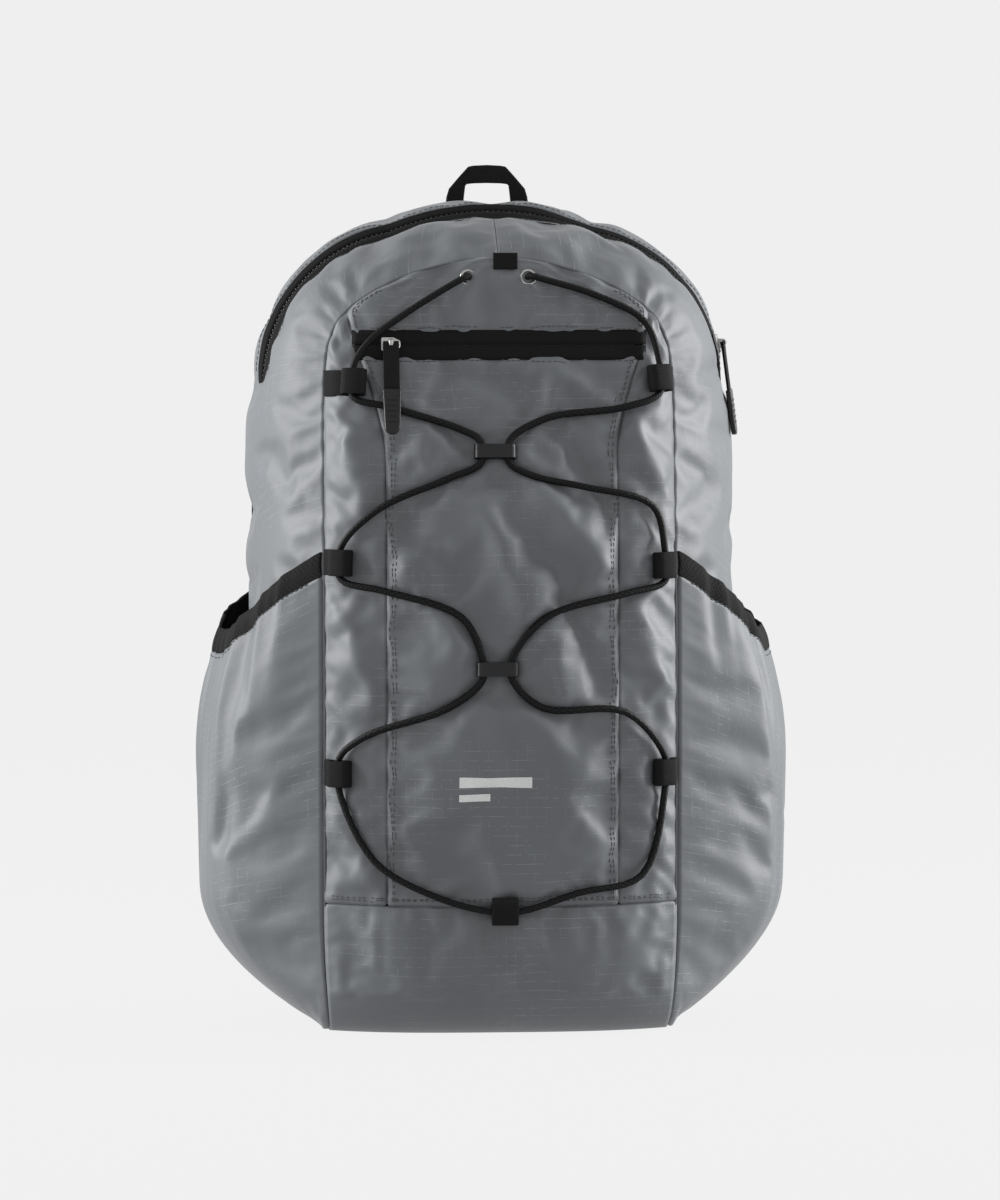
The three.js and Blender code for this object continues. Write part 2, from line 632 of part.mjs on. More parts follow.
// The cord's middle line as [x, z, height over the front]: out of the left eyelet, down the left, through
// the bottom loop, and up the right to the other eyelet.
const CORD_LINE = [
  [-17, 431, -11], [-17, 431, 2.2], [-18.6, 430, 5], [-28, 425, 4.8], [-56, 408, 3], [-74, 394, 3.2],
  [-82, 380, 4.6], [-82, 362.5, 4.6], [-64, 357.5, 3], [-24, 345, 3], [-12.2, 338, 3.7],
  [-12.2, 326, 3.7], [-30, 317.5, 3], [-70, 300, 3], [-88.5, 279, 4.6], [-89, 261, 4.6],
  [-66, 254.5, 3], [-24, 240, 3], [-12.4, 217, 3.7], [-12.4, 205, 3.7], [-32, 189, 3],
  [-76, 173, 3], [-90, 160, 4.6], [-90, 141, 4.6], [-72, 102, 3], [-40, 83, 3.4],
  [-8, 74, 4.6], [9, 74, 4.6], [42, 84, 3.4], [78, 93, 3], [90, 141, 4.6],
  [90, 160, 4.6], [68, 186, 3], [22, 189, 3], [4.4, 205, 3.7], [4.4, 217, 3.7],
  [24, 240, 3], [70, 253, 3], [90, 259, 4.6], [90, 277, 4.6], [84, 302, 3],
  [46, 312.5, 3], [18, 318.5, 3], [4.2, 326, 3.7], [4.2, 338, 3.7], [26, 351, 3],
  [70, 357, 3], [88.5, 364.5, 4.6], [89, 382, 4.6], [82, 405, 3.2], [54, 420.5, 3],
  [28, 428, 4.8], [18.6, 430.5, 5], [17, 431, 2.2], [17, 431, -11],
];

class CordRoute extends THREE.Curve {
  plan = new THREE.CatmullRomCurve3(CORD_LINE.map((p) => vec(...p)));
  getPoint(t) {
    return liftedFront(...this.plan.getPoint(t).toArray());
  }
}

function cord() {
  const line = new CordRoute();
  const section = new THREE.Shape();
  section.absarc(0, 0, CORD_DIAMETER / 2, 0, 2 * Math.PI, false);
  const tube = new THREE.ExtrudeGeometry(section, { steps: 120, extrudePath: line, curveSegments: 4 });
  return geometryOf(solid(tube));
}
piece("elastic_cord", cord(), BLACK_WEBBING);

// The two cord guides: flat bars with a slot at each end that the cord turns through.
const GUIDE_SLOT = 2.6; // half the slot's height; the cord runs through it along Z
function cordGuide(x, z) {
  const wall = 0.9;
  const bar = stadium(8.4, GUIDE_SLOT + wall);
  for (const at of [-8.3, 8.3]) {
    const slot = new THREE.Path();
    slot.absarc(at + 0.9, 0, GUIDE_SLOT, -Math.PI / 2, Math.PI / 2, false);
    slot.absarc(at - 0.9, 0, GUIDE_SLOT, Math.PI / 2, 1.5 * Math.PI, false);
    bar.holes.push(slot);
  }
  const place = seat(liftedFront(x, z, GUIDE_SLOT + wall + TOUCH), frontNormal(x, z), UP);
  return slab(bar, 8).translate(0, 0, -4).applyMatrix4(place);
}
piece("cord_guide_upper", cordGuide(-4, 332), BLACK_PLASTIC);
piece("cord_guide_lower", cordGuide(-4, 211), BLACK_PLASTIC);

// ---- Reflective mark ----

const markPanel = frontPanel(() => -26, () => 15, [136, 143, 150], 4, -0.8, 0.4);
piece("reflective_bar", markPanel, PRINT);

// ---- Padded back ----

const BACK_EASE = 1.8; // between the gusset's inside and the back's layers, at the rim
const backInset = CLOTH + BACK_EASE;
const BACK_SHOULDER = 24; // over this much of its height the back's face swells to its full depth
const BACK_FACE = BACK_Y + BACK_SWELL;
// The back's outer face stands out a little over its rim.
function backY(x, z) {
  const across = 1 - (Math.abs(x) / backRim.halfAt(z)) ** 8;
  const ends = smoothstep(BACK_TOP - z, 0, BACK_SHOULDER) * smoothstep(z, 0, BACK_SHOULDER);
  return BACK_Y + BACK_SWELL * across * ends;
}

// How much further in than at its rim the back's layers have to end, so that the innermost face, at the given
// depth, still fits between the gussets where they run together towards the front.
function narrowing(depth) {
  const moves = steps(0, 4, 80).map((u) => {
    const rim = backRim.at(u);
    const s = 1 - depth / (BACK_Y - rimY(frontRim.at(u).z));
    const inner = gussetPoint(1, u, s);
    return (rim.x - inner.x) * Math.cos(rim.angle) + (rim.z - inner.z) * Math.sin(rim.angle);
  });
  const most = Math.max(0, ...moves);
  const thicker = CLOTH * (Math.hypot(1, most / depth) - 1);
  return Math.max(0, most + thicker + TOUCH + GAP - BACK_EASE);
}

const LINING = 1;
const backExtra = narrowing(CLOTH + PAD + LINING + 2 * TOUCH);
function backLayer(depth, wall) {
  const point = (z, c) => {
    const half = Math.min(backRim.halfAt(z), backRim.halfAt(z + backExtra)) - backInset - backExtra;
    const x = lerp(-half, half, c);
    return vec(x, backY(x, z) - depth, z);
  };
  const highest = [37, 21, 11, 3.5].map((drop) => BACK_TOP - drop - backExtra);
  const zs = [CLOTH + GAP, 20, 60, ...steps(110, BACK_TOP - 57, 5), ...highest];
  return skin(point, straightBack(-wall), zs, [0, 0.06, 0.2, 0.4, 0.6, 0.8, 0.94, 1]);
}
piece("back_mesh", backLayer(0, CLOTH), AIR_MESH);
piece("back_foam", backLayer(CLOTH + TOUCH, PAD), FOAM);
piece("back_lining", backLayer(CLOTH + PAD + 2 * TOUCH, LINING), RIPSTOP);

// ---- Grab handle ----

const HANDLE_BAND = 10.5;
const HANDLE_HALF = 24.5;
const HANDLE_RISE = 24;
const HANDLE_THICK = 2.6;
const HANDLE_SHARE = 0.93; // where across the gusset it is sewn on

// Height of the pack's top over a point near the back seam.
const handleRoot = gussetPoint(1, 3.6, HANDLE_SHARE);
const handleAxis = vec(0, handleRoot.y, handleRoot.z + 2.6 + TOUCH);

function grabHandle() {
  const inner = HANDLE_HALF - HANDLE_BAND;
  const outline = outlineOf([
    [-HANDLE_HALF, 0], [-inner, 0], [-inner, HANDLE_RISE - HANDLE_BAND], [inner, HANDLE_RISE - HANDLE_BAND],
    [inner, 0], [HANDLE_HALF, 0], [HANDLE_HALF - 1.5, HANDLE_RISE - 4], [HANDLE_HALF - 5, HANDLE_RISE],
    [-HANDLE_HALF + 5, HANDLE_RISE], [-HANDLE_HALF + 1.5, HANDLE_RISE - 4],
  ]);
  const band = slab(outline, HANDLE_THICK).rotateX(Math.PI / 2).translate(0, HANDLE_THICK / 2, 0);
  const root = (x) =>
    new THREE.CylinderGeometry(HANDLE_THICK / 2, HANDLE_THICK / 2, HANDLE_BAND, 12)
      .rotateZ(Math.PI / 2).translate(x, 0, 0);
  const middle = (inner + HANDLE_HALF) / 2;
  return join(band, root(-middle), root(middle)).translate(...handleAxis.toArray());
}
piece("grab_handle", grabHandle(), BLACK_WEBBING);

// ---- Shoulder straps ----

const STRAP_AXIS_Y = BACK_FACE + STRAP_PAD / 2 + 1.5; // where a strap is sewn on, and swings about
const LOCK_BAR = 1.3; // radius of the ladder-lock's upper bar

// A strip along a line of points: half(t) wide to each side along X. Its middle layer lies lift outside the
// line, away from the pack, and its edges are thinner by the share edge.
function strip(points, half, thick, { edge = 0, lift = 0, count = 12, columns = [0, 1], to = 1 } = {}) {
  const line = new THREE.CatmullRomCurve3(points);
  const frame = (t) => {
    const along = line.getTangent(t);
    const outward = along.clone().cross(vec(1, 0, 0)).normalize();
    if (outward.y < 0) outward.negate();
    const across = along.clone().cross(outward).normalize();
    return { at: line.getPoint(t), outward, across };
  };
  const depth = (c) => thick * (1 - edge * Math.abs(2 * c - 1) ** 3);
  const point = (t, c) => {
    const { at, outward, across } = frame(t);
    return at.addScaledVector(across, (2 * c - 1) * half(t)).addScaledVector(outward, lift + depth(c) / 2);
  };
  return skin(point, (t, c) => frame(t).outward.multiplyScalar(-depth(c)), steps(0, to, count), columns);
}

// The plastic ladder-lock under a strap's end, standing in its own XZ plane with its upper bar at the origin.
const LOCK_HALF = 13.5;
const LOCK_DROP = 27;
const LOCK_THICK = 3;
function ladderLock() {
  const inner = ADJUSTER_WIDTH / 2 + 0.6;
  const frame = outlineOf([
    [-LOCK_HALF, -LOCK_DROP], [LOCK_HALF, -LOCK_DROP], [LOCK_HALF, LOCK_BAR], [-LOCK_HALF, LOCK_BAR],
  ]);
  const windows = [[-9, -LOCK_BAR], [-16, -12.5], [-24, -19.5]];
  for (const [low, high] of windows) {
    frame.holes.push(outlineOf([[-inner, low], [-inner, high], [inner, high], [inner, low]]));
  }
  return slab(frame, LOCK_THICK).rotateX(Math.PI / 2).translate(0, LOCK_THICK / 2, 0);
}

// The strap's short loop of webbing round the ladder-lock's upper bar.
function lockLoop() {
  const hole = Math.hypot(LOCK_BAR, LOCK_THICK / 2) + TOUCH;
  const ring = new THREE.Shape().absarc(0, 0, hole + WEBBING, 0, 2 * Math.PI, false);
  ring.holes.push(new THREE.Path().absarc(0, 0, hole, 0, 2 * Math.PI, true));
  const band = slab(ring, ADJUSTER_WIDTH, 5).translate(0, 0, -ADJUSTER_WIDTH / 2);
  return turned(band, vec(0, 1, 0), vec(0, 0, 1));
}

const LOCK_GAP = 4.5; // from the pad's end down to the ladder-lock's bar
const ANCHOR_THICK = 2;
const anchorTop = BACK_FACE + TOUCH + ANCHOR_THICK;
for (const [name, side] of [["left", -1], ["right", 1]]) {
  const mirrored = (points) => points.map(([x, y, z]) => vec(side * x, STRAP_AXIS_Y + y, z));
  const padEnd = [76, STRAP_BOW * 0.35, STRAP_BOTTOM];
  const padLine = mirrored([
    [38, 0, STRAP_TOP], [42, STRAP_BOW * 0.55, STRAP_TOP - 40], [52, STRAP_BOW, STRAP_TOP - 105],
    [65, STRAP_BOW * 0.8, STRAP_TOP - 175], padEnd,
  ]);
  const padHalf = (t) => lerp(33, 24, smoothstep(t, 0.3, 1)) - 5 * smoothstep(t, 0.93, 1);
  const pad = strip(padLine, padHalf, STRAP_PAD, { edge: 0.45, columns: steps(0, 1, 6) });
  piece(`strap_pad_${name}`, pad, AIR_MESH);
  const lift = STRAP_PAD / 2 + TOUCH + WEBBING / 2;
  const facing = strip(padLine, () => ADJUSTER_WIDTH / 2, WEBBING, { lift, to: 0.98 });
  piece(`strap_webbing_${name}`, facing, BLACK_WEBBING);

  const bar = vec(side * (padEnd[0] + 1), STRAP_AXIS_Y + padEnd[1] - 1, STRAP_BOTTOM - LOCK_GAP - 3);
  piece(`lock_loop_${name}`, lockLoop().translate(...bar.toArray()), BLACK_WEBBING);
  piece(`ladder_lock_${name}`, ladderLock().translate(...bar.toArray()), BLACK_PLASTIC);

  const lockFoot = bar.z - LOCK_DROP;
  const lowerLine = [
    vec(bar.x, bar.y, lockFoot - 2.5), vec(side * 88, bar.y - 3, lockFoot - 50),
    vec(side * 95, anchorTop + 3.4, 66), vec(side * 97, anchorTop + WEBBING / 2 + 0.2, 40),
  ];
  piece(`lower_webbing_${name}`, strip(lowerLine, () => ADJUSTER_WIDTH / 2, WEBBING), BLACK_WEBBING);
  const anchor = new THREE.BoxGeometry(30, ANCHOR_THICK, 34);
  anchor.translate(side * 96, anchorTop - ANCHOR_THICK / 2, 44);
  piece(`lower_anchor_${name}`, anchor, BLACK_WEBBING);
  const tail = new THREE.BoxGeometry(ADJUSTER_WIDTH, WEBBING, 80);
  tail.translate(bar.x, bar.y + LOCK_THICK / 2 + TOUCH + WEBBING / 2, bar.z - 17.5 - 40);
  piece(`strap_tail_${name}`, tail, BLACK_WEBBING);
}

// The fabric yoke that the straps' upper ends are sewn under.
const yokeFoot = STRAP_TOP + STRAP_PAD / 2 + 0.8;
const strapYoke = new THREE.BoxGeometry(140, 3, 13);
strapYoke.translate(0, BACK_FACE + TOUCH + 1.5, yokeFoot + 6.5);
piece("strap_yoke", strapYoke, RIPSTOP);

export default pack;
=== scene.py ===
"""A light ripstop hiking daypack, stuffed and standing on its base, with an elastic cord laced over its front."""

import json
import math
import random

import bmesh
import bpy
from mathutils import Matrix, Vector, noise
from mathutils.bvhtree import BVHTree
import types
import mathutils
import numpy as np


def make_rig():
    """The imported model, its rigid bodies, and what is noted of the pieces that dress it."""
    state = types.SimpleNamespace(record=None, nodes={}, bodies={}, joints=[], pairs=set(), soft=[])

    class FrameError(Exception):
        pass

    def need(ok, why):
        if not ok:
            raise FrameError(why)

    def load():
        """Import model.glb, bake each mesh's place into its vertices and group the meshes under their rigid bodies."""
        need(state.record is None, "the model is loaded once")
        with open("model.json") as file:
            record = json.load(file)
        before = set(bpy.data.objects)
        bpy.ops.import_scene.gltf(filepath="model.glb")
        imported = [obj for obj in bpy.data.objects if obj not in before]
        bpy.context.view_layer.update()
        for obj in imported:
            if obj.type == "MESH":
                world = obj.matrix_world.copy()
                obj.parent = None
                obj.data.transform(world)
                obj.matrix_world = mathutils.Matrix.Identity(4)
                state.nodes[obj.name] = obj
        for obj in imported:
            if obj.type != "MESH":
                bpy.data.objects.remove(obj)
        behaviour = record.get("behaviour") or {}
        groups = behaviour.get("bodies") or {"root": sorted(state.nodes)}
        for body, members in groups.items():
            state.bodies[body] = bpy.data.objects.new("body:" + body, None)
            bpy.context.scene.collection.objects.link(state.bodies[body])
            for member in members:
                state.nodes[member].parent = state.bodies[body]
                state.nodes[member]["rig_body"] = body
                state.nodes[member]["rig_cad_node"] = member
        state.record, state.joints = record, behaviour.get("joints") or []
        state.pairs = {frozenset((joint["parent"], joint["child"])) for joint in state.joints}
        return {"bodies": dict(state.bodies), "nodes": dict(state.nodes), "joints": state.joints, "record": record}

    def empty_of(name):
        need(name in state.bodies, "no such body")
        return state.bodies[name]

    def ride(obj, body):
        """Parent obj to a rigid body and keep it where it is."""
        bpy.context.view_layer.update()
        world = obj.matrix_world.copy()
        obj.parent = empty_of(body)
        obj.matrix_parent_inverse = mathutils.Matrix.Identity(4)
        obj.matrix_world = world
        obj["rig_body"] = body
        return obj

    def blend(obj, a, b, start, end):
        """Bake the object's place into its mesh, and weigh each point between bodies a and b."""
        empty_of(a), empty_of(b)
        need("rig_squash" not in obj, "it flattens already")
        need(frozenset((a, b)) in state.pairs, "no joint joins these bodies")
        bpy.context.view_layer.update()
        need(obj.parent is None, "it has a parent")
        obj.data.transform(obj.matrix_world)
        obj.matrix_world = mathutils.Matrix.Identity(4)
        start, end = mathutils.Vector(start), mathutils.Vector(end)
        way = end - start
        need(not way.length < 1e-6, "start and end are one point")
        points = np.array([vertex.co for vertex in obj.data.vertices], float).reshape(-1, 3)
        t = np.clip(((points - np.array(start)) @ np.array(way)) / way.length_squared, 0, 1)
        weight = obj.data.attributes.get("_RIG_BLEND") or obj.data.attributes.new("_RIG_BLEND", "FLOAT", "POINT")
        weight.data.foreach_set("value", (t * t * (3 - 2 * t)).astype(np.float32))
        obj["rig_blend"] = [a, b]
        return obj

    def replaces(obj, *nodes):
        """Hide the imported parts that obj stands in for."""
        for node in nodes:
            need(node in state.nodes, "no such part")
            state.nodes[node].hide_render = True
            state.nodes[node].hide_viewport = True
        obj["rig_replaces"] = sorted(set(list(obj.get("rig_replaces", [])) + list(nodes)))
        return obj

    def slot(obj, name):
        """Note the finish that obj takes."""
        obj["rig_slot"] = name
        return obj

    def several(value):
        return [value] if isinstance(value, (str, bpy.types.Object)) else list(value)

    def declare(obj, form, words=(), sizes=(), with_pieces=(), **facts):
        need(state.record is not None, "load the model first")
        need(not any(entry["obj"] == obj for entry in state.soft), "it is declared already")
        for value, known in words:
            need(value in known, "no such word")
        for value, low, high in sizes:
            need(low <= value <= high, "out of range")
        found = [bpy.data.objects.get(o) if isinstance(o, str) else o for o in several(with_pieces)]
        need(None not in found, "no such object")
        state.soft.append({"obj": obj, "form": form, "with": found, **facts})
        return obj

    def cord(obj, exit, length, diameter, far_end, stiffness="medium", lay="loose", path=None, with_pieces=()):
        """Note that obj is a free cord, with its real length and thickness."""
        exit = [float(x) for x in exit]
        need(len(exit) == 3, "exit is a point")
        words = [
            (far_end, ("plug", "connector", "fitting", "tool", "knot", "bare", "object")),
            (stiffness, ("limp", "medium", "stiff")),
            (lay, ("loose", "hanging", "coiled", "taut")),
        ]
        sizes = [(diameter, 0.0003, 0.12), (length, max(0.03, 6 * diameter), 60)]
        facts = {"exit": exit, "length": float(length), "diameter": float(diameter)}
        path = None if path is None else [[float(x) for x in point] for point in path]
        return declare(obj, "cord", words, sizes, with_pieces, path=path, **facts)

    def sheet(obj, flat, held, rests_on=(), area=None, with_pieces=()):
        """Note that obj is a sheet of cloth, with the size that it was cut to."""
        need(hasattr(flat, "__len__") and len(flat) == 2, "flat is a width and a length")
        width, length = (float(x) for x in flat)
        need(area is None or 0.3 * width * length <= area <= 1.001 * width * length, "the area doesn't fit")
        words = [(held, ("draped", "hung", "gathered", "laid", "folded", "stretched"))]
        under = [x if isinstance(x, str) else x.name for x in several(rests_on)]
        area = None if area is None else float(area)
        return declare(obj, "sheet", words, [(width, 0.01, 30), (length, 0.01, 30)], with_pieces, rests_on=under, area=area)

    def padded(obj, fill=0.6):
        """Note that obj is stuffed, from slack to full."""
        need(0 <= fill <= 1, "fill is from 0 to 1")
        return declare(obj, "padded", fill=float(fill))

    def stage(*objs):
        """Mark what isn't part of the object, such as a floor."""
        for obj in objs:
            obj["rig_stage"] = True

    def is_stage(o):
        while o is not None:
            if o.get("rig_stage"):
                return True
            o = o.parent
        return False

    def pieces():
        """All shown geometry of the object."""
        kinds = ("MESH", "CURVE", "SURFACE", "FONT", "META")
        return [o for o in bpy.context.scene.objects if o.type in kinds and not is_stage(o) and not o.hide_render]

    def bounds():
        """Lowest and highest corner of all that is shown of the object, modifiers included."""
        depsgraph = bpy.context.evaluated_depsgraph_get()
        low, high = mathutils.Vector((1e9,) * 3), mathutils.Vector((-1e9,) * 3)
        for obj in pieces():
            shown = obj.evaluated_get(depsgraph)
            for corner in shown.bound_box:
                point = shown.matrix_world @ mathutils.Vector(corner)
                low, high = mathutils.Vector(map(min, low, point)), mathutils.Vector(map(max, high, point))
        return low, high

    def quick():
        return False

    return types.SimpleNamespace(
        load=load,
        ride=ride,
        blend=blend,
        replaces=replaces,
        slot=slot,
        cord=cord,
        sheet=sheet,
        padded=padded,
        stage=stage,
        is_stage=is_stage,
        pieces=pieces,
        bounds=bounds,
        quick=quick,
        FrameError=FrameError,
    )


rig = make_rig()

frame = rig.load()
cad_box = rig.bounds()
MM = 0.001
PACK = "pack_body"

# ---- Camera ----
# A long lens a little above the middle of the pack and a little to its left.

AIM = Vector((0.0005, -0.045, 0.2475))
CAMERA_AZIMUTH = math.radians(-4)
CAMERA_HEIGHT = math.radians(3.5)
CAMERA_DISTANCE = 3.42

camera_data = bpy.data.cameras.new("camera")
camera_data.lens = 180
camera_data.sensor_width = 36
camera = bpy.data.objects.new("camera", camera_data)
bpy.context.scene.collection.objects.link(camera)
bpy.context.scene.camera = camera
camera_back = Vector((
    math.sin(CAMERA_AZIMUTH) * math.cos(CAMERA_HEIGHT),
    -math.cos(CAMERA_AZIMUTH) * math.cos(CAMERA_HEIGHT),
    math.sin(CAMERA_HEIGHT),
))
camera.location = AIM + camera_back * CAMERA_DISTANCE
camera.rotation_euler = (-camera_back).to_track_quat("-Z", "Y").to_euler()

# ---- The pack's shape ----
# The same two rims, bulging front and bulging gusset as the fixed model, in millimetres.

FRONT_Y = -60
BACK_Y = 65
FRONT_TOP = 443
BACK_TOP = 467
FOOT_RADIUS = 28
CLOTH = 2


def between(a, b, share):
    return a + (b - a) * share


def smooth(x, low, high):
    t = min(1, max(0, (x - low) / (high - low)))
    return t * t * (3 - 2 * t)


class Rim:
    """A panel's edge: a straight side, a wide side arc, a tight shoulder arc and a flat crown arc."""

    def __init__(self, half, top, crown, crown_turn, side, side_turn, tuck):
        self.half, self.tuck = half, tuck
        self.angles = [math.radians(a) for a in (0, side_turn, 90 - crown_turn, 90)]
        low, high = self.angles[1:3]
        shoulder = (half - crown * math.cos(high) - side * (1 - math.cos(low))) / (math.cos(low) - math.cos(high))
        crown_z = top - crown
        shoulder_x = (crown - shoulder) * math.cos(high)
        shoulder_z = crown_z + (crown - shoulder) * math.sin(high)
        side_x = shoulder_x + (shoulder - side) * math.cos(low)
        side_z = shoulder_z + (shoulder - side) * math.sin(low)
        self.arcs = [(side_x, side_z, side), (shoulder_x, shoulder_z, shoulder), (0, crown_z, crown)]
        self.spring = side_z

    def side_half(self, z):
        return self.half - self.tuck * max(0, 1 - z / 70) ** 2

    def at(self, u):
        """x, z and the outward angle; u runs over the side, the side arc, the shoulder and the crown."""
        if u <= 1:
            z = between(0.6, self.spring, u)
            return self.side_half(z), z, 0
        i = min(2, int(u - 1))
        angle = between(self.angles[i], self.angles[i + 1], u - 1 - i)
        x, z, radius = self.arcs[i]
        return x + radius * math.cos(angle), z + radius * math.sin(angle), angle

    def half_at(self, z):
        if z <= self.spring:
            return self.side_half(z)
        tops = [arc[1] + arc[2] * math.sin(self.angles[i + 1]) for i, arc in enumerate(self.arcs[:2])]
        x, centre, radius = self.arcs[0 if z < tops[0] else 1 if z < tops[1] else 2]
        return x + math.sqrt(max(0.1, radius**2 - (z - centre) ** 2))


front_rim = Rim(half=101, top=FRONT_TOP, crown=143, crown_turn=34, side=400, side_turn=6, tuck=4)
back_rim = Rim(half=136, top=BACK_TOP, crown=400, crown_turn=5, side=600, side_turn=7, tuck=34)


def rim_y(z):
    under = min(FOOT_RADIUS, max(0, FOOT_RADIUS - z))
    return FRONT_Y + FOOT_RADIUS - math.sqrt(FOOT_RADIUS**2 - under**2) + 26 * smooth(z, 200, FRONT_TOP)


def front_y(x, z):
    up = max(0, (z - 180) / (FRONT_TOP - 180))
    down = max(0, (180 - z) / 180)
    squareness = 3.2 + 4.5 * smooth(z, 240, 360)
    across = 1 - min(1, abs(x) / front_rim.half_at(z)) ** squareness
    return rim_y(z) - 26 * (1 - up**3) * (1 - 0.35 * down**2) * across


def front_normal(x, z):
    along_x = Vector((1, front_y(x + 0.5, z) - front_y(x - 0.5, z), 0))
    along_z = Vector((0, front_y(x, z + 0.5) - front_y(x, z - 0.5), 1))
    return along_x.cross(along_z).normalized()


def on_front(x, z, lift=0):
    """A point a distance straight out of the front surface."""
    return Vector((x, front_y(x, z), z)) + front_normal(x, z) * lift


def gusset_point(side, u, s, lift=0):
    fx, fz, fa = front_rim.at(u)
    bx, bz, ba = back_rim.at(u)
    z, angle = between(fz, bz, s), between(fa, ba, s)
    full = 15 * (1 - abs(2 * s - 1) ** 2.5) * smooth(z, 0, 80) + lift
    x = between(fx, bx, s) + full * math.cos(angle)
    return Vector((side * x, between(rim_y(fz), BACK_Y, s), z + full * math.sin(angle)))


# ---- Elastic cord ----
# A 4 mm braided elastic cord in one length, knotted behind the yoke. It leaves by the left eyelet, laces
# down through the webbing loops and the two guides, and comes back up to the right eyelet.

CORD_RADIUS = 2.0
CORD_LINE = [
    (-17, 431, -11), (-17, 431, 2.2), (-18.6, 430, 5), (-28, 425, 4.8), (-56, 408, 3), (-74, 394, 3.2),
    (-82, 380, 4.6), (-82, 362.5, 4.6), (-64, 357.5, 3), (-24, 345, 3), (-12.2, 338, 3.7),
    (-12.2, 326, 3.7), (-30, 317.5, 3), (-70, 300, 3), (-88.5, 279, 4.6), (-89, 261, 4.6),
    (-66, 254.5, 3), (-24, 240, 3), (-12.4, 217, 3.7), (-12.4, 205, 3.7), (-32, 189, 3),
    (-76, 173, 3), (-90, 160, 4.6), (-90, 141, 4.6), (-72, 102, 3), (-40, 83, 3.4),
    (-8, 74, 4.6), (9, 74, 4.6), (42, 84, 3.4), (78, 93, 3), (90, 141, 4.6),
    (90, 160, 4.6), (68, 186, 3), (22, 189, 3), (4.4, 205, 3.7), (4.4, 217, 3.7),
    (24, 240, 3), (70, 253, 3), (90, 259, 4.6), (90, 277, 4.6), (84, 302, 3),
    (46, 312.5, 3), (18, 318.5, 3), (4.2, 326, 3.7), (4.2, 338, 3.7), (26, 351, 3),
    (70, 357, 3), (88.5, 364.5, 4.6), (89, 382, 4.6), (82, 405, 3.2), (54, 420.5, 3),
    (28, 428, 4.8), (18.6, 430.5, 5), (17, 431, 2.2), (17, 431, -11),
]


def rounded_line(points, steps):
    """Points on a smooth curve through the given ones, steps to each stretch (centripetal Catmull-Rom)."""
    points = [Vector(p) for p in points]
    ends = [2 * points[0] - points[1], *points, 2 * points[-1] - points[-2]]
    line = []
    for a, b, c, d in zip(ends, ends[1:], ends[2:], ends[3:]):
        t1 = (b - a).length ** 0.5
        t2 = t1 + (c - b).length ** 0.5
        t3 = t2 + (d - c).length ** 0.5
        for i in range(steps):
            t = between(t1, t2, i / steps)
            p = [between(a, b, t / t1), between(b, c, (t - t1) / (t2 - t1)), between(c, d, (t - t2) / (t3 - t2))]
            q = [between(p[0], p[1], t / t2), between(p[1], p[2], (t - t1) / (t3 - t1))]
            line.append(between(q[0], q[1], (t - t1) / (t2 - t1)))
    return [*line, points[-1]]


cord_line = [on_front(*p) for p in rounded_line(CORD_LINE, 6)]


def in_metres(points):
    return [tuple(c * MM for c in p) for p in points]


def add_object(name, mesh):
    piece = bpy.data.objects.new(name, mesh)
    bpy.context.scene.collection.objects.link(piece)
    return piece


def round_cord(name, points, radius, sides=12):
    """A mesh tube along points, with its UV map in metres: along the tube, and round it."""
    curve = bpy.data.curves.new(name, "CURVE")
    curve.dimensions = "3D"
    curve.bevel_depth = radius * MM
    curve.bevel_resolution = sides // 4 - 1
    curve.use_fill_caps = True
    spline = curve.splines.new("POLY")
    spline.points.add(len(points) - 1)
    for place, point in zip(spline.points, in_metres(points)):
        place.co = (*point, 1)
    holder = bpy.data.objects.new(name, curve)
    mesh = bpy.data.meshes.new_from_object(holder)
    bpy.data.objects.remove(holder)
    bpy.data.curves.remove(curve)
    mesh.name = name
    length = sum((b - a).length for a, b in zip(points, points[1:])) * MM
    uv = mesh.uv_layers[0] if mesh.uv_layers else mesh.uv_layers.new(name="UVMap")
    for loop in uv.data:
        loop.uv = (loop.uv[0] * length, loop.uv[1] * 2 * math.pi * radius * MM)
    mesh.shade_smooth()
    return add_object(name, mesh), length


class Wire:
    """A number or colour on its way through a finish's nodes; an expression on wires adds its Math nodes."""

    def __init__(self, finish, socket):
        self.finish, self.socket = finish, socket

    def math(self, operation, a, b=0.0, c=0.0):
        return self.finish.node("Math", {"operation": operation}, {0: a, 1: b, 2: c})

    def __add__(self, other):
        return self.math("ADD", self, other)

    __radd__ = __add__

    def __sub__(self, other):
        return self.math("SUBTRACT", self, other)

    def __rsub__(self, other):
        return self.math("SUBTRACT", other, self)

    def __mul__(self, other):
        return self.math("MULTIPLY", self, other)

    __rmul__ = __mul__

    def __truediv__(self, other):
        return self.math("DIVIDE", self, other)

    def __gt__(self, other):
        return self.math("GREATER_THAN", self, other)

    def wave(self):
        """A sine of the value, from 0 to 1."""
        return self.math("SINE", self) * 0.5 + 0.5

    def part(self):
        return self.math("FRACT", self)

    def distance(self, other):
        return self.math("ABSOLUTE", self - other)

    def step(self, low, high):
        """0 below low and 1 above high, and smooth between them."""
        return self.finish.node(
            "MapRange", {"interpolation_type": "SMOOTHSTEP"}, {"Value": self, "From Min": low, "From Max": high}
        )


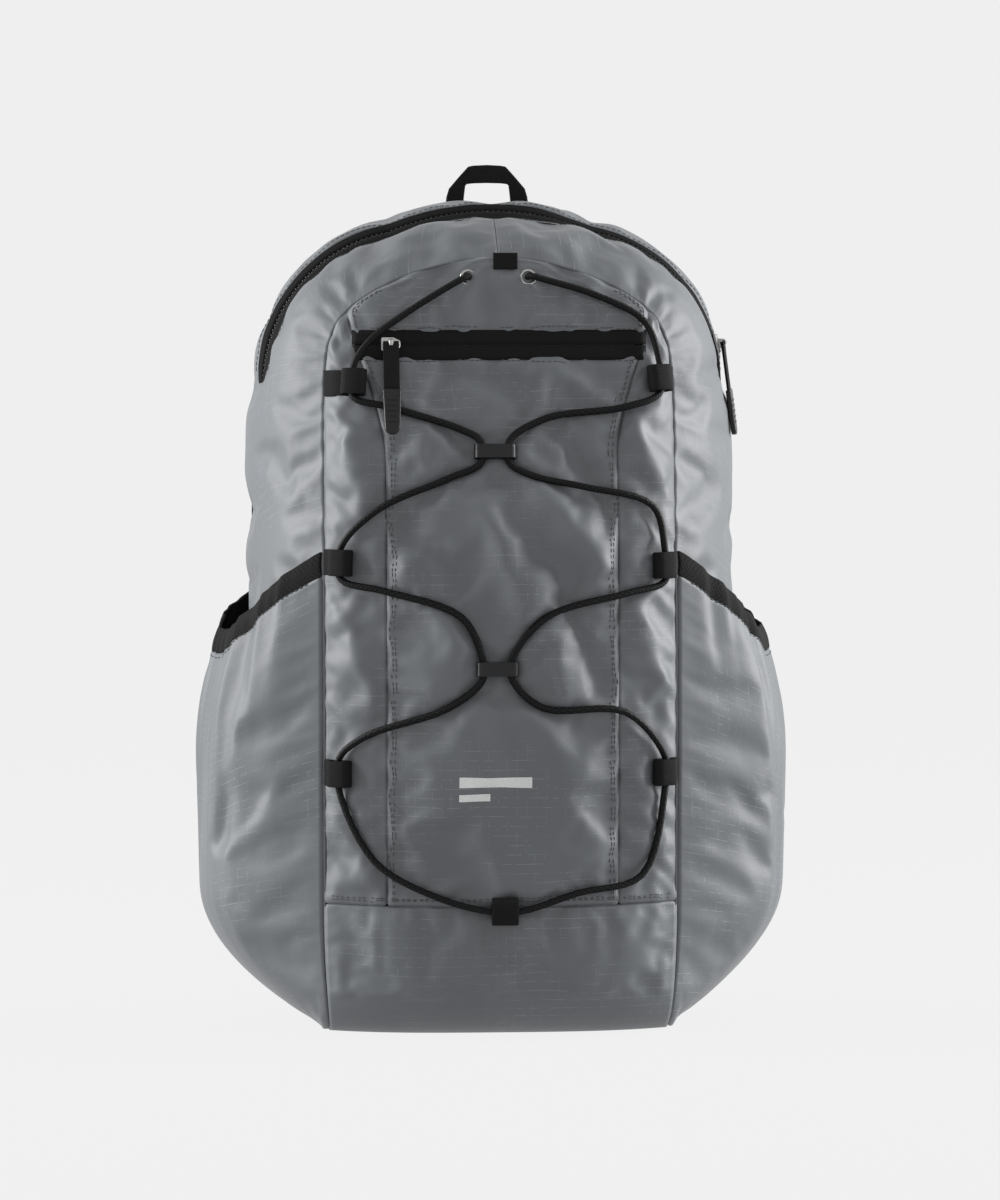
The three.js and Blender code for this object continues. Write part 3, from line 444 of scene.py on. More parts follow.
class Finish:
    """A material with one Principled shader."""

    def __init__(self, name, roughness, metallic=0.0, specular=0.5, **fixed):
        self.material = bpy.data.materials.new(name)
        self.material.use_nodes = True
        self.tree = self.material.node_tree
        self.shader = self.tree.nodes["Principled BSDF"]
        self.set("Roughness", roughness)
        self.set("Metallic", metallic)
        self.set("Specular IOR Level", specular)
        for socket, value in fixed.items():
            self.set(socket.replace("_", " "), value)

    def set(self, socket, value):
        self.feed(self.shader.inputs[socket], value)

    def feed(self, socket, value):
        if isinstance(value, Wire):
            self.tree.links.new(value.socket, socket)
        else:
            socket.default_value = value

    def node(self, kind, settings=None, inputs=None, out=0):
        made = self.tree.nodes.new("ShaderNode" + kind)
        for name, value in (settings or {}).items():
            if name == "stops":
                ramp = made.color_ramp
                while len(ramp.elements) < len(value):
                    ramp.elements.new(0.5)
                for stop, (place, colour) in zip(ramp.elements, value):
                    stop.position, stop.color = place, colour
            else:
                setattr(made, name, value)
        for name, value in (inputs or {}).items():
            self.feed(made.inputs[name], value)
        return Wire(self, made.outputs[out])

    def uv(self):
        """The two directions of the piece's own UV map, in metres."""
        apart = self.tree.nodes.new("ShaderNodeSeparateXYZ")
        self.feed(apart.inputs[0], self.node("TexCoord", out="UV"))
        return Wire(self, apart.outputs[0]), Wire(self, apart.outputs[1])

    def place(self):
        return self.node("TexCoord", out="Object")

    def clouds(self, scale, detail=2.0, distortion=0.0, where=None):
        """Noise from 0 to 1 with features of about 1/scale metres."""
        inputs = {"Vector": where or self.place(), "Scale": scale, "Detail": detail, "Distortion": distortion}
        return self.node("TexNoise", {}, inputs)

    def colour(self, share, dark, light):
        return self.node(
            "Mix", {"data_type": "RGBA"}, {0: share, 6: (*dark, 1), 7: (*light, 1)}, out=2
        )

    def bump(self, height, distance, strength=1.0, under=None):
        inputs = {"Height": height, "Distance": distance, "Strength": strength}
        if under:
            inputs["Normal"] = under
        return self.node("Bump", {}, inputs)


# The braid's sheath: two sets of strands that wind round the cord in opposite senses.
braid = Finish("braided_sheath", roughness=0.5, specular=0.12)
along, around = braid.uv()
strand_a = (along * 2600 + around * 2000).wave()
strand_b = (along * 2600 - around * 2000).wave()
plait = strand_a * strand_b
braid.set("Base Color", braid.colour(plait, (0.002, 0.002, 0.0022), (0.010, 0.010, 0.011)))
braid.set("Normal", braid.bump(plait, 0.00025, 0.6))

cord, cord_length = round_cord("elastic_cord_braided", cord_line, CORD_RADIUS)
cord.data.materials.append(braid.material)
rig.ride(cord, PACK)
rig.replaces(cord, "elastic_cord")
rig.slot(cord, "cord")
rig.cord(
    cord, exit=in_metres([on_front(-17, 431)])[0], length=cord_length, diameter=2 * CORD_RADIUS * MM,
    far_end="object", stiffness="limp", lay="taut", path=in_metres(cord_line),
)

# ---- Floor, backdrop and light ----
# A pale floor that glows as evenly bright as the world round it, and two large soft boxes beside the pack.


def stage_plane(name, corners, colour, glow):
    mesh = bpy.data.meshes.new(name)
    mesh.from_pydata(corners, [], [(0, 1, 2, 3)])
    plane = add_object(name, mesh)
    paint = Finish(name, roughness=0.9, specular=0.0)
    paint.set("Base Color", (colour, colour, colour, 1))
    paint.set("Emission Color", (1, 1, 1, 1))
    paint.set("Emission Strength", glow)
    mesh.materials.append(paint.material)
    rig.stage(plane)


stage_plane("floor", [(-8, -8, 0), (8, -8, 0), (8, 8, 0), (-8, 8, 0)], 0.012, 0.852)
world = bpy.data.worlds.new("studio")
world.use_nodes = True
world.node_tree.nodes["Background"].inputs["Color"].default_value = (0.863, 0.863, 0.863, 1)
world.node_tree.nodes["Background"].inputs["Strength"].default_value = 1.0
bpy.context.scene.world = world
bpy.context.scene.view_settings.view_transform = "Standard"


def soft_box(name, place, size, power):
    light = bpy.data.lights.new(name, "AREA")
    light.shape = "RECTANGLE"
    light.size, light.size_y = size
    light.energy = power
    lamp = bpy.data.objects.new(name, light)
    lamp.location = place
    lamp.rotation_euler = (Vector(place) - Vector((0, 0, 0.22))).to_track_quat("Z", "Y").to_euler()
    bpy.context.scene.collection.objects.link(lamp)


soft_box("left_box", (-1.6, 0.15, 0.7), (0.8, 1.4), 52)
soft_box("right_box", (1.6, 0.15, 0.7), (0.8, 1.4), 58)

# ---- Ripstop cloth ----
# Thin satin nylon with a thicker double thread every few millimetres each way. The threads are raised in the bump,
# and the light they catch is painted into the colour as broken lighter lines. It crumples softly over the load.


def ripstop_cloth(name, dark=(0.078, 0.083, 0.090), light=(0.112, 0.119, 0.127), grid=0.0052):
    cloth = Finish(name, roughness=0.5, specular=0.3, Sheen_Weight=0.06, Sheen_Roughness=0.4)
    across, up = cloth.uv()
    upright = (across / grid).part().distance(0.5).step(0.462, 0.495)
    level = (up / grid).part().distance(0.5).step(0.462, 0.495)
    # Painted highlight: the patches where the thread grid shows lighter stand in for where it catches the light.
    patches = cloth.clouds(28, 2).step(0.4, 0.62)
    # The thread grid: real raised threads in the bump, and a painted highlight in the colour.
    thread_ridges_and_painted_glint = upright.math(
        "MAXIMUM", upright * cloth.clouds(260, 1).step(0.5, 0.6) * 0.6, level * cloth.clouds(210, 1).step(0.42, 0.55)
    ) * patches
    tone = cloth.clouds(11, 3)
    body = cloth.colour(tone, dark, light)
    # Painted highlight: the threads are mixed towards a light grey where they would catch the light.
    cloth.set("Base Color", cloth.node(
        "Mix", {"data_type": "RGBA"}, {0: thread_ridges_and_painted_glint * 0.5, 6: body, 7: (0.27, 0.28, 0.285, 1)}, out=2
    ))
    cloth.set("Roughness", 0.44 + cloth.clouds(40, 2) * 0.12)
    fine = cloth.clouds(260, 3, 0.4)
    creased = cloth.clouds(70, 2, 0.8)
    under = cloth.bump(creased, 0.0010, 0.22)
    cloth.set("Normal", cloth.bump(fine * 0.4 + thread_ridges_and_painted_glint * 0.6, 0.00025, 0.35, under))
    return cloth


grey_ripstop = ripstop_cloth("grey_ripstop")


def cloth_grid(name, point, rows, columns, size, keep=None):
    """A sheet that follows point(u, v), both from 0 to 1, in rows by columns cells. size is the flat cloth's,
    in metres, and fills the UV map. keep(u, v) says which cells stay."""
    sheet = bmesh.new()
    bmesh.ops.create_grid(sheet, x_segments=rows, y_segments=columns, size=0.5, calc_uvs=True)
    uv = sheet.loops.layers.uv.verify()
    if keep:
        gone = [f for f in sheet.faces if not keep(f.calc_center_median().x + 0.5, f.calc_center_median().y + 0.5)]
        bmesh.ops.delete(sheet, geom=gone, context="FACES")
    for face in sheet.faces:
        for loop in face.loops:
            loop[uv].uv = ((loop.vert.co.y + 0.5) * size[0], (loop.vert.co.x + 0.5) * size[1])
    shares = sheet.verts.layers.float_vector.new("share")
    for vert in sheet.verts:
        vert[shares] = (vert.co.x + 0.5, vert.co.y + 0.5, 0)
        vert.co = point(vert.co.x + 0.5, vert.co.y + 0.5) * MM
    mesh = bpy.data.meshes.new(name)
    sheet.to_mesh(mesh)
    sheet.free()
    mesh.shade_smooth()
    return add_object(name, mesh)


def faces_out(piece, away_from=Vector((0, 0, 0.22))):
    """Turns a sheet's faces so that they look away from a point."""
    mesh = piece.data
    facing = sum((p.center - away_from).dot(p.normal) * p.area for p in mesh.polygons)
    if facing < 0:
        mesh.flip_normals()


def crumple(piece, pinned, slack, press, frames=22, bend=0.8, reach=(3.5, 5.0), seed=0, rough=0.5, stretch=(1, 1, 1)):
    """Lets a sheet buckle and puff as loose cloth does. pinned(u, v) from 0 to 1 holds it, slack is the share
    of spare cloth, press the load behind it, and reach how far in and out it may go, in millimetres."""
    mesh = piece.data
    rest = [v.co.copy() for v in mesh.vertices]
    normals = [v.normal.copy() for v in mesh.vertices]
    shares = [d.vector for d in mesh.attributes["share"].data]
    hold = [pinned(s[0], s[1]) for s in shares]
    for vert, normal, held in zip(mesh.vertices, normals, hold):
        where = Vector(vert.co[i] * stretch[i] for i in range(3)) * 45 + Vector((seed, seed * 0.7, 0))
        vert.co += normal * (noise.fractal(where, 0.8, 2.0, 3) * rough * MM * (1 - held))
    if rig.quick():
        return
    group = piece.vertex_groups.new(name="seams")
    for i, held in enumerate(hold):
        if held > 0:
            group.add([i], held, "REPLACE")
    cloth = piece.modifiers.new("cloth", "CLOTH")
    settings = cloth.settings
    settings.quality = 5
    settings.mass = 0.12
    settings.tension_stiffness = settings.compression_stiffness = 12
    settings.shear_stiffness = 4
    settings.bending_stiffness = bend
    settings.tension_damping = settings.compression_damping = settings.shear_damping = 8
    settings.air_damping = 4
    settings.vertex_group_mass = "seams"
    settings.shrink_min = -slack
    settings.use_pressure = True
    settings.uniform_pressure_force = press
    settings.effector_weights.gravity = 0
    cloth.collision_settings.use_self_collision = False
    cloth.collision_settings.use_collision = False
    cloth.point_cache.frame_start = 1
    cloth.point_cache.frame_end = frames
    scene = bpy.context.scene
    for f in range(1, frames + 1):
        scene.frame_set(f)
    settled = piece.evaluated_get(bpy.context.evaluated_depsgraph_get())
    places = [v.co.copy() for v in settled.data.vertices]
    piece.modifiers.remove(cloth)
    scene.frame_set(1)
    for vert, place, start, normal in zip(mesh.vertices, places, rest, normals):
        move = (place - start) / MM
        out = move.dot(normal)
        aside = move - normal * out
        out = max(-reach[0], min(reach[1], out))
        if aside.length > 5:
            aside *= 5 / aside.length
        vert.co = start + (normal * out + aside) * MM


def thicken(piece, thickness=0.45, levels=1, outward=-1.0):
    """Gives a sheet its cloth's thickness and smooths it."""
    if levels:
        smoother = piece.modifiers.new("smooth", "SUBSURF")
        smoother.levels = smoother.render_levels = levels
    wall = piece.modifiers.new("wall", "SOLIDIFY")
    wall.thickness = thickness * MM
    wall.offset = outward
    bpy.context.view_layer.update()
    whole = bpy.data.meshes.new_from_object(piece.evaluated_get(bpy.context.evaluated_depsgraph_get()))
    piece.modifiers.clear()
    whole.name = piece.name
    piece.data = whole
    piece.vertex_groups.clear()
    whole.shade_smooth()


def edge_hold(width_u, width_v, sides="udlr"):
    """Holds a sheet along its edges; widths are shares of the sheet over which the hold lets go."""
    def held(u, v):
        gaps = []
        if "d" in sides:
            gaps.append(u / width_u)
        if "u" in sides:
            gaps.append((1 - u) / width_u)
        if "l" in sides:
            gaps.append(v / width_v)
        if "r" in sides:
            gaps.append((1 - v) / width_v)
        near = min(gaps)
        return 1.0 if near < 0.5 else max(0.0, 1.5 - near) * 0.6 if near < 1.5 else 0.0
    return held


# ---- Front panels ----
# The centre panel and yoke, with a strip on each side, are cut from the same ripstop. The upright seams
# between them are folded under and stitched down twice. The lacing presses the cloth in along its way.

RIM_INSET = 2.5
SEAM_DEPTH = 1.0


def upright_seam(z):
    """Half the width between the two upright front seams at a height."""
    return min(66 + 22 * smooth(z, 330, 425), front_rim.half_at(z) - RIM_INSET)


# Soft folds of the stuffed front: two ends as x, z, then height and width.
FRONT_FOLDS = [
    ((-52, 352), (-16, 318), 4.5, 8), ((-48, 330), (6, 282), 4.2, 9), ((-30, 316), (40, 262), -3.6, 8),
    ((10, 330), (56, 268), 4.8, 9), ((30, 345), (62, 300), -3.4, 7), ((-58, 296), (-20, 262), -3.2, 9),
    ((-60, 268), (-22, 222), 4.0, 9), ((16, 262), (34, 196), 4.4, 8), ((34, 250), (56, 200), -3.2, 7),
    ((-40, 214), (-8, 150), 2.6, 14), ((20, 186), (50, 110), 2.6, 14), ((-56, 150), (-30, 100), -2.0, 12),
    ((-30, 380), (20, 366), -2.0, 8), ((24, 382), (60, 360), 3.0, 7), ((-10, 305), (16, 226), 3.8, 8),
    ((72, 352), (88, 318), 3.2, 7), ((-88, 340), (-74, 300), 3.0, 7), ((74, 244), (90, 200), 3.0, 7),
    ((-90, 238), (-72, 196), 3.2, 7), ((74, 150), (88, 110), 2.4, 8), ((-88, 135), (-74, 95), 2.4, 8),
]


def folds_at(x, z, folds):
    """The height that a list of folds adds at a point."""
    total = 0
    for a, b, height, width in folds:
        ax, az, bx, bz = *a, *b
        length2 = (bx - ax) ** 2 + (bz - az) ** 2
        t = ((x - ax) * (bx - ax) + (z - az) * (bz - az)) / length2
        along_gap = max(0, -t, t - 1) * math.sqrt(length2)
        t = min(1, max(0, t))
        gap2 = (x - ax - t * (bx - ax)) ** 2 + (z - az - t * (bz - az)) ** 2
        total += height * math.exp(-gap2 / width**2) * math.exp(-((along_gap / width) ** 2))
    return total


cord_marks = [(p.x, p.z) for p in cord_line[12:-12]]


def cord_gap(x, z):
    return math.sqrt(min((x - cx) ** 2 + (z - cz) ** 2 for cx, cz in cord_marks))


def puckers(where, gap, width, height, seed):
    """Short gathers across a seam, where being the distance along it and gap the distance from it."""
    return noise.noise(Vector((where * 0.11, gap * 0.02, seed))) * height * math.exp(-((gap / width) ** 2))


def front_cloth(x, z, sunk):
    """A point on the front's cloth. sunk is 1 at a seam and 0 away from it."""
    lift = folds_at(x, z, FRONT_FOLDS) * (1 - sunk) - SEAM_DEPTH * sunk
    inside = upright_seam(z) - abs(x)
    felled = smooth(inside, 0, 1.2) * (1 - smooth(inside, 5.2, 6.4)) + smooth(z, 76, 77) * (1 - smooth(z, 81.5, 83))
    lift += 0.7 * min(1, felled)
    free = 1 - sunk
    lift += puckers(z, inside, 11, 2.6, 3) * free + puckers(x, z - LOWER_SEAM, 9, 1.6, 7) * free
    lift += puckers(x, z - 400, 12, 1.8, 13) * free + puckers(z + x, front_rim.half_at(z) - abs(x), 12, 3.0, 17) * free
    pressed = math.exp(-((cord_gap(x, z) / 5) ** 2))
    lift = between(lift, min(lift, 0.3), pressed)
    pucker = 0.5 * sunk * noise.noise(Vector((x * 0.16, z * 0.16, 5)))
    return on_front(x, z, lift + pucker)


def front_piece(name, nodes, left, right, low, high, cell=4.0, slack=0.045, press=1.2, seed=0):
    width = abs(right((low + high) / 2) - left((low + high) / 2))
    rows, columns = max(6, round((high - low) / cell)), max(5, round(width / cell))
    edge_u, edge_v = 6 / (high - low), 6 / width

    def point(u, v):
        z = between(low, high, u)
        x = between(left(z), right(z), v)
        sunk = math.exp(-((min(u / edge_u, (1 - u) / edge_u, v / edge_v, (1 - v) / edge_v) * 1.3) ** 2))
        return front_cloth(x, z, sunk)

    piece = cloth_grid(name, point, rows, columns, (width * MM, (high - low) * MM))
    faces_out(piece)
    border = edge_hold(0.8 * cell / (high - low), 0.8 * cell / width)

    def pinned(u, v):
        z = between(low, high, u)
        under_cord = 0.9 if cord_gap(between(left(z), right(z), v), z) < 2.6 else 0
        return max(border(u, v), under_cord)

    crumple(piece, pinned, slack, press, seed=seed, bend=3.0)
    thicken(piece)
    piece.data.materials.append(grey_ripstop.material)
    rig.ride(piece, PACK)
    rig.replaces(piece, *nodes)
    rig.slot(piece, "ripstop")
    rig.sheet(piece, flat=(width * MM * 1.06, (high - low) * MM * 1.06), held="stretched", rests_on=["back_foam"])
    return piece


LOWER_SEAM = 76
ZIP_LOW, ZIP_HIGH = 387, 399.4
SEAM_GAP = 0.1


def yoke_edge(z):
    return min(66 + 22 * smooth(z, 330, 425), front_rim.half_at(z) - 0.3)


centre_panel = front_piece(
    "centre_panel_cloth", ["front_centre_panel"], lambda z: -upright_seam(z) + SEAM_GAP,
    lambda z: upright_seam(z) - SEAM_GAP, LOWER_SEAM, ZIP_LOW, cell=3.6, seed=3,
)
yoke_cloth = front_piece(
    "yoke_cloth", ["yoke_panel"], lambda z: -yoke_edge(z), yoke_edge, ZIP_HIGH, FRONT_TOP - 0.3, cell=3.2,
    slack=0.03, press=0.6, seed=8,
)
strip_left = front_piece(
    "strip_cloth_left", ["front_strip_left"], lambda z: -front_rim.half_at(z) + 0.3,
    lambda z: -upright_seam(z) - SEAM_GAP, LOWER_SEAM, 413, cell=3.6, seed=11,
)
strip_right = front_piece(
    "strip_cloth_right", ["front_strip_right"], lambda z: upright_seam(z) + SEAM_GAP,
    lambda z: front_rim.half_at(z) - 0.3, LOWER_SEAM, 413, cell=3.6, seed=17,
)

# ---- Bottom panel ----
# One piece of ripstop from the lower front seam down and under the pack to the back. It is gathered a little
# into the lower seam.

FOOT_TURN = FOOT_RADIUS * math.pi / 2
BOTTOM_LENGTH = (LOWER_SEAM - FOOT_RADIUS) + FOOT_TURN + (BACK_Y - FRONT_Y - FOOT_RADIUS)


def bottom_point(u, v):
    """u runs from the back along the ground and up the front to the lower seam."""
    down = (1 - u) * BOTTOM_LENGTH
    drop = LOWER_SEAM - FOOT_RADIUS
    turn = min(1, max(0, (down - drop) / FOOT_TURN)) * math.pi / 2
    z = LOWER_SEAM - down if down < drop else FOOT_RADIUS * (1 - math.sin(turn))
    back = max(0, down - drop - FOOT_TURN)
    share = back / (BACK_Y - FRONT_Y - FOOT_RADIUS)
    half = between(front_rim.half_at(z), back_rim.side_half(0.6), share) - 0.4
    x = between(-half, half, v)
    y = FRONT_Y - (rim_y(z) - front_y(x, z)) + FOOT_RADIUS * (1 - math.cos(turn)) + back
    if down < drop:
        y = front_y(x, z)
    gathers = noise.noise(Vector((x * 0.12, z * 0.015, 2))) * 1.1 * smooth(z, 30, 70)
    sunk = math.exp(-((down / 5) ** 2))
    lift = gathers * (1 - sunk) - SEAM_DEPTH * sunk
    return Vector((x, max(y, y - lift) if down > drop else y - lift, max(z, 0.5)))


bottom_cloth = cloth_grid("bottom_cloth", bottom_point, 56, 50, (0.205, BOTTOM_LENGTH * MM))
faces_out(bottom_cloth, Vector((0, 0.02, 0.1)))
on_ground = 1 - (LOWER_SEAM - 24) / BOTTOM_LENGTH
crumple(
    bottom_cloth, lambda u, v: 1.0 if u < on_ground else edge_hold(0.02, 0.03)(u, v), 0.05, 1.0, seed=23,
    reach=(2.5, 3.0), rough=0.6,
)
thicken(bottom_cloth)
bottom_cloth.data.materials.append(grey_ripstop.material)
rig.ride(bottom_cloth, PACK)
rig.replaces(bottom_cloth, "bottom_panel")
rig.slot(bottom_cloth, "ripstop")
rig.sheet(bottom_cloth, flat=(0.215, BOTTOM_LENGTH * MM * 1.04), held="stretched", rests_on=["floor"])

# ---- Gussets ----
# A gusset runs up each side and over to the crown seam, where the two meet. It joins the front panels to the
# padded back and opens in a slot for the main zip.

RISE = [(0, 0), (0.606, 1), (0.715, 2), (0.887, 3), (1, 4)]  # share of the way up and over, and the rim's u
ZIP_START = 1.8
ZIP_SLOT = 7.2
SLOT_FROM, SLOT_TO = 10 / 18, 12 / 18
POCKET_EDGE = 0.006


def rim_u(share):
    for (a, ua), (b, ub) in zip(RISE, RISE[1:]):
        if share <= b:
            return between(ua, ub, (share - a) / (b - a))
    return 4


def zip_share(u):
    """Where the main zip's middle lies across the gusset."""
    z = front_rim.at(max(u, ZIP_START))[1]
    return (12 + 0.12 * (BACK_TOP - z) - rim_y(z)) / (BACK_Y - rim_y(z))


def slot_half(u):
    return ZIP_SLOT / 2 / (BACK_Y - rim_y(front_rim.at(max(u, ZIP_START))[1]))


def zip_lean(w):
    """How far the main zip's slot leans forward: its rear edge stands up and its front edge lies lower. The slider
    holds it flatter along its way over the right shoulder."""
    return between(3.0, 1.3, smooth(w, 0.35, 0.75)) * smooth(4 - abs(w), ZIP_START - 0.1, ZIP_START + 0.4)


def slot_lift(side, u, off):
    """The lean's height beside the slot, off being the distance across from the zip's middle."""
    lean = zip_lean(side * (4 - u))
    return lean * off / 3.6 if abs(off) < 3.6 else lean * math.copysign(math.exp(-(((abs(off) - 3.6) / 9) ** 2)), off)


def across_gusset(u, v):
    middle, half = zip_share(u), slot_half(u)
    if v <= SLOT_FROM:
        return v / SLOT_FROM * (middle - half)
    if v <= SLOT_TO:
        return middle + ((v - SLOT_FROM) / (SLOT_TO - SLOT_FROM) * 2 - 1) * half
    return between(middle + half, 1, (v - SLOT_TO) / (1 - SLOT_TO))


def hem_line(s):
    """Height of a side pocket's mouth."""
    return between(277, 249, s) - 34 * math.sin(math.pi * s)


def gusset_cloth(name, node, side, seed):
    def point(u, v):
        run = rim_u(u)
        s = across_gusset(run, v)
        edge = min(s, 1 - s)
        lift = -SEAM_DEPTH * math.exp(-((edge * 125 / 4) ** 2))
        if run > ZIP_START - 0.1:
            off = (s - zip_share(run)) / slot_half(run) * ZIP_SLOT / 2
            lift -= 0.5 * math.exp(-((max(0, abs(off) - 3.6) / 3) ** 2))
            lift += slot_lift(side, run, off)
        if u > 0.99:
            lift -= 0.8
        lift += puckers(u * 531, s * 120, 14, 3.4, 21) * smooth(s, 0.01, 0.05)
        return gusset_point(side, min(run, 3.998), s, lift)

    def keep(u, v):
        return not (SLOT_FROM < v < SLOT_TO and rim_u(u) > ZIP_START)

    def pinned(u, v):
        run = rim_u(u)
        s = across_gusset(run, v)
        z = gusset_point(side, run, s).z
        behind_pocket = run <= 1 and z < hem_line(s) + 2
        near_slot = run > ZIP_START - 0.05 and abs(s - zip_share(run)) < slot_half(run) + 0.02
        return 1.0 if behind_pocket or near_slot else edge_hold(0.012, 0.04)(u, v)

    piece = cloth_grid(name, point, 132, 36, (0.128, 0.531), keep)
    faces_out(piece, Vector((0, 0, 0.2)))
    crumple(piece, pinned, 0.03, 1.0, seed=seed, reach=(2.5, 3.0), rough=0.9, bend=6.0)
    thicken(piece)
    piece.data.materials.append(grey_ripstop.material)
    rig.ride(piece, PACK)
    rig.replaces(piece, node)
    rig.slot(piece, "ripstop")
    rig.sheet(piece, flat=(0.134, 0.54), held="stretched", rests_on=["back_foam"])
    return piece


gusset_left = gusset_cloth("gusset_cloth_left", "gusset_left", -1, 31)
gusset_right = gusset_cloth("gusset_cloth_right", "gusset_right", 1, 37)

# ---- Side pockets ----
# A deep open pocket on each side, cut full and gathered into a black elastic hem that leans back and dips in
# the middle.

HEM = 14
POCKET_SEAM = 0.035  # the share of the gusset over which a pocket's edge rises from its seam


def pocket_point(side, s, z, extra=0):
    spring = between(front_rim.spring, back_rim.spring, s)
    v = z / hem_line(s)
    rise = 1 - max(0, 1 - v / 0.65) ** 5
    fall = 1 - 0.45 * (max(0, v - 0.65) / 0.35) ** 2
    across = 1 - min(1, abs(2 * s - 1) / (1 - 2 * POCKET_SEAM)) ** 3
    seam = between(-0.5, 3.1, smooth(min(s, 1 - s), 0, POCKET_SEAM))
    return gusset_point(side, (z - 0.6) / (spring - 0.6), s, seam + 31 * rise * fall * across + extra)


def gathers(s, z, top, seed):
    """The upright folds that the elastic draws into the cloth below it."""
    free = smooth(min(s, 1 - s), POCKET_SEAM, 0.14)
    grow = smooth(z, top * 0.05, top * 0.8)
    fine = noise.noise(Vector((s * 30, z * 0.007, seed))) * 3.2 * smooth(z, top * 0.55, top)
    broad = noise.noise(Vector((s * 11 + z * 0.006, z * 0.004, seed + 9))) * 5.0
    return (fine + broad) * grow * free - 1.0 * free


def pocket_cloth(name, node, side, seed):
    def point(u, v):
        s = between(POCKET_EDGE, 1 - POCKET_EDGE, v)
        top = hem_line(s) - HEM
        z = between(1.6, top, u)
        return pocket_point(side, s, z, gathers(s, z, top, seed))

    piece = cloth_grid(name, point, 64, 46, (0.155, 0.25))
    faces_out(piece, Vector((0, 0, 0.12)))
    hold = edge_hold(0.02, 0.035)
    crumple(piece, hold, 0.012, 0.8, seed=seed, reach=(2, 1.2), rough=0.25, bend=3.0)
    thicken(piece)
    piece.data.materials.append(grey_ripstop.material)
    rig.ride(piece, PACK)
    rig.replaces(piece, node)
    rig.slot(piece, "ripstop")
    return piece


def fabric(name, dark, light, weave, roughness=0.75, depth=0.0003):
    """A plain woven fabric whose ribs run across it."""
    cloth = Finish(name, roughness=roughness, specular=0.08)
    along, across = cloth.uv()
    zigzag = (across / (weave * 5)).part().distance(0.5) * 2
    ribs = (along * (2 * math.pi / weave) + zigzag * 9).wave()
    cords = (across * (2 * math.pi / weave)).wave()
    height = ribs * 0.7 + cords * 0.3
    tone = height * 0.7 + cloth.clouds(300, 2) * 0.3
    cloth.set("Base Color", cloth.colour(tone, dark, light))
    cloth.set("Normal", cloth.bump(height, depth, 0.5))
    return cloth


elastic = fabric("hem_elastic", (0.004, 0.004, 0.0042), (0.013, 0.013, 0.0135), 0.0016)


def pocket_hem(name, node, side, seed):
    def point(u, v):
        s = between(POCKET_EDGE, 1 - POCKET_EDGE, v)
        top = hem_line(s)
        z = top - HEM * (1 - u)
        roll = 0.9 * math.sin(math.pi * u)
        return pocket_point(side, s, z, gathers(s, top - HEM, top - HEM, seed) * (1 - 0.35 * u) + roll)

    piece = cloth_grid(name, point, 10, 92, (0.15, HEM * MM))
    faces_out(piece, Vector((0, 0, 0.12)))
    thicken(piece, 1.6)
    piece.data.materials.append(elastic.material)
    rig.ride(piece, PACK)
    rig.replaces(piece, node)
    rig.slot(piece, "webbing")
    return piece


pocket_cloths = []
for name, side, seed in [("left", -1, 41), ("right", 1, 47)]:
    hem = pocket_hem(f"pocket_hem_{name}", f"side_pocket_hem_{name}", side, seed)
    pouch = pocket_cloth(f"pocket_cloth_{name}", f"side_pocket_{name}", side, seed)
    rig.sheet(hem, flat=(0.165, HEM * MM), held="gathered", rests_on=[pouch])
    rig.sheet(pouch, flat=(0.185, 0.25), held="gathered", rests_on=["back_foam"], with_pieces=[hem])
    pocket_cloths.append(pouch)

# ---- Seams ----
# The upright and lower front seams, the pocket zip's edges, the hems and the gusset's seams are stitched in
# grey thread, most of them in two rows.

thread = Finish("thread", roughness=0.6, specular=0.3)
thread.set("Base Color", thread.colour(thread.clouds(900, 1), (0.03, 0.032, 0.034), (0.075, 0.078, 0.08)))


def surface(*pieces):
    """The pieces' surface, to find the nearest point of."""
    places, faces = [], []
    for piece in pieces:
        start = len(places)
        places += [v.co.copy() for v in piece.data.vertices]
        faces += [[start + i for i in p.vertices] for p in piece.data.polygons]
    return BVHTree.FromPolygons(places, faces)


def laid_on(tree, point, lift):
    """The point of a surface nearest to a point, lifted off it towards that point's side."""
    place, normal, _, _ = tree.find_nearest(point * MM)
    return place / MM + normal * lift, normal


def beads(name, places, segments=6, rings=4):
    """One mesh of many small rounded grains, each given by its middle and its three half axes."""
    grain = bmesh.new()
    bmesh.ops.create_uvsphere(grain, u_segments=segments, v_segments=rings, radius=1)
    corners = [v.co.copy() for v in grain.verts]
    faces = [[v.index for v in f.verts] for f in grain.faces]
    grain.free()
    points, polygons = [], []
    for middle, across, out, along in places:
        start = len(points)
        points += [(middle + across * c.x + out * c.y + along * c.z) * MM for c in corners]
        polygons += [[start + i for i in face] for face in faces]
    mesh = bpy.data.meshes.new(name)
    mesh.from_pydata(points, [], polygons)
    mesh.shade_smooth()
    return add_object(name, mesh)


def stitch_row(tree, line, pitch=3.4, length=2.6, thick=0.6):
    """The stitches along a line of points, laid on a surface."""
    travelled, due = 0, pitch / 2
    for a, b in zip(line, line[1:]):
        step = (b - a).length
        while travelled + step > due:
            middle, out = laid_on(tree, a.lerp(b, (due - travelled) / step), 0.12)
            along = (b - a).normalized()
            across = along.cross(out).normalized()
            yield middle, across * thick / 2, out * thick / 2, along * length / 2
            due += pitch
        travelled += step


def stitched(name, tree, lines):
    piece = beads(name, [stitch for line in lines for stitch in stitch_row(tree, line)])
    piece.data.materials.append(thread.material)
    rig.ride(piece, PACK)
    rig.slot(piece, "webbing")
    return piece


def upto(low, high, step=4):
    count = max(2, round(abs(high - low) / step))
    return [between(low, high, i / count) for i in range(count + 1)]


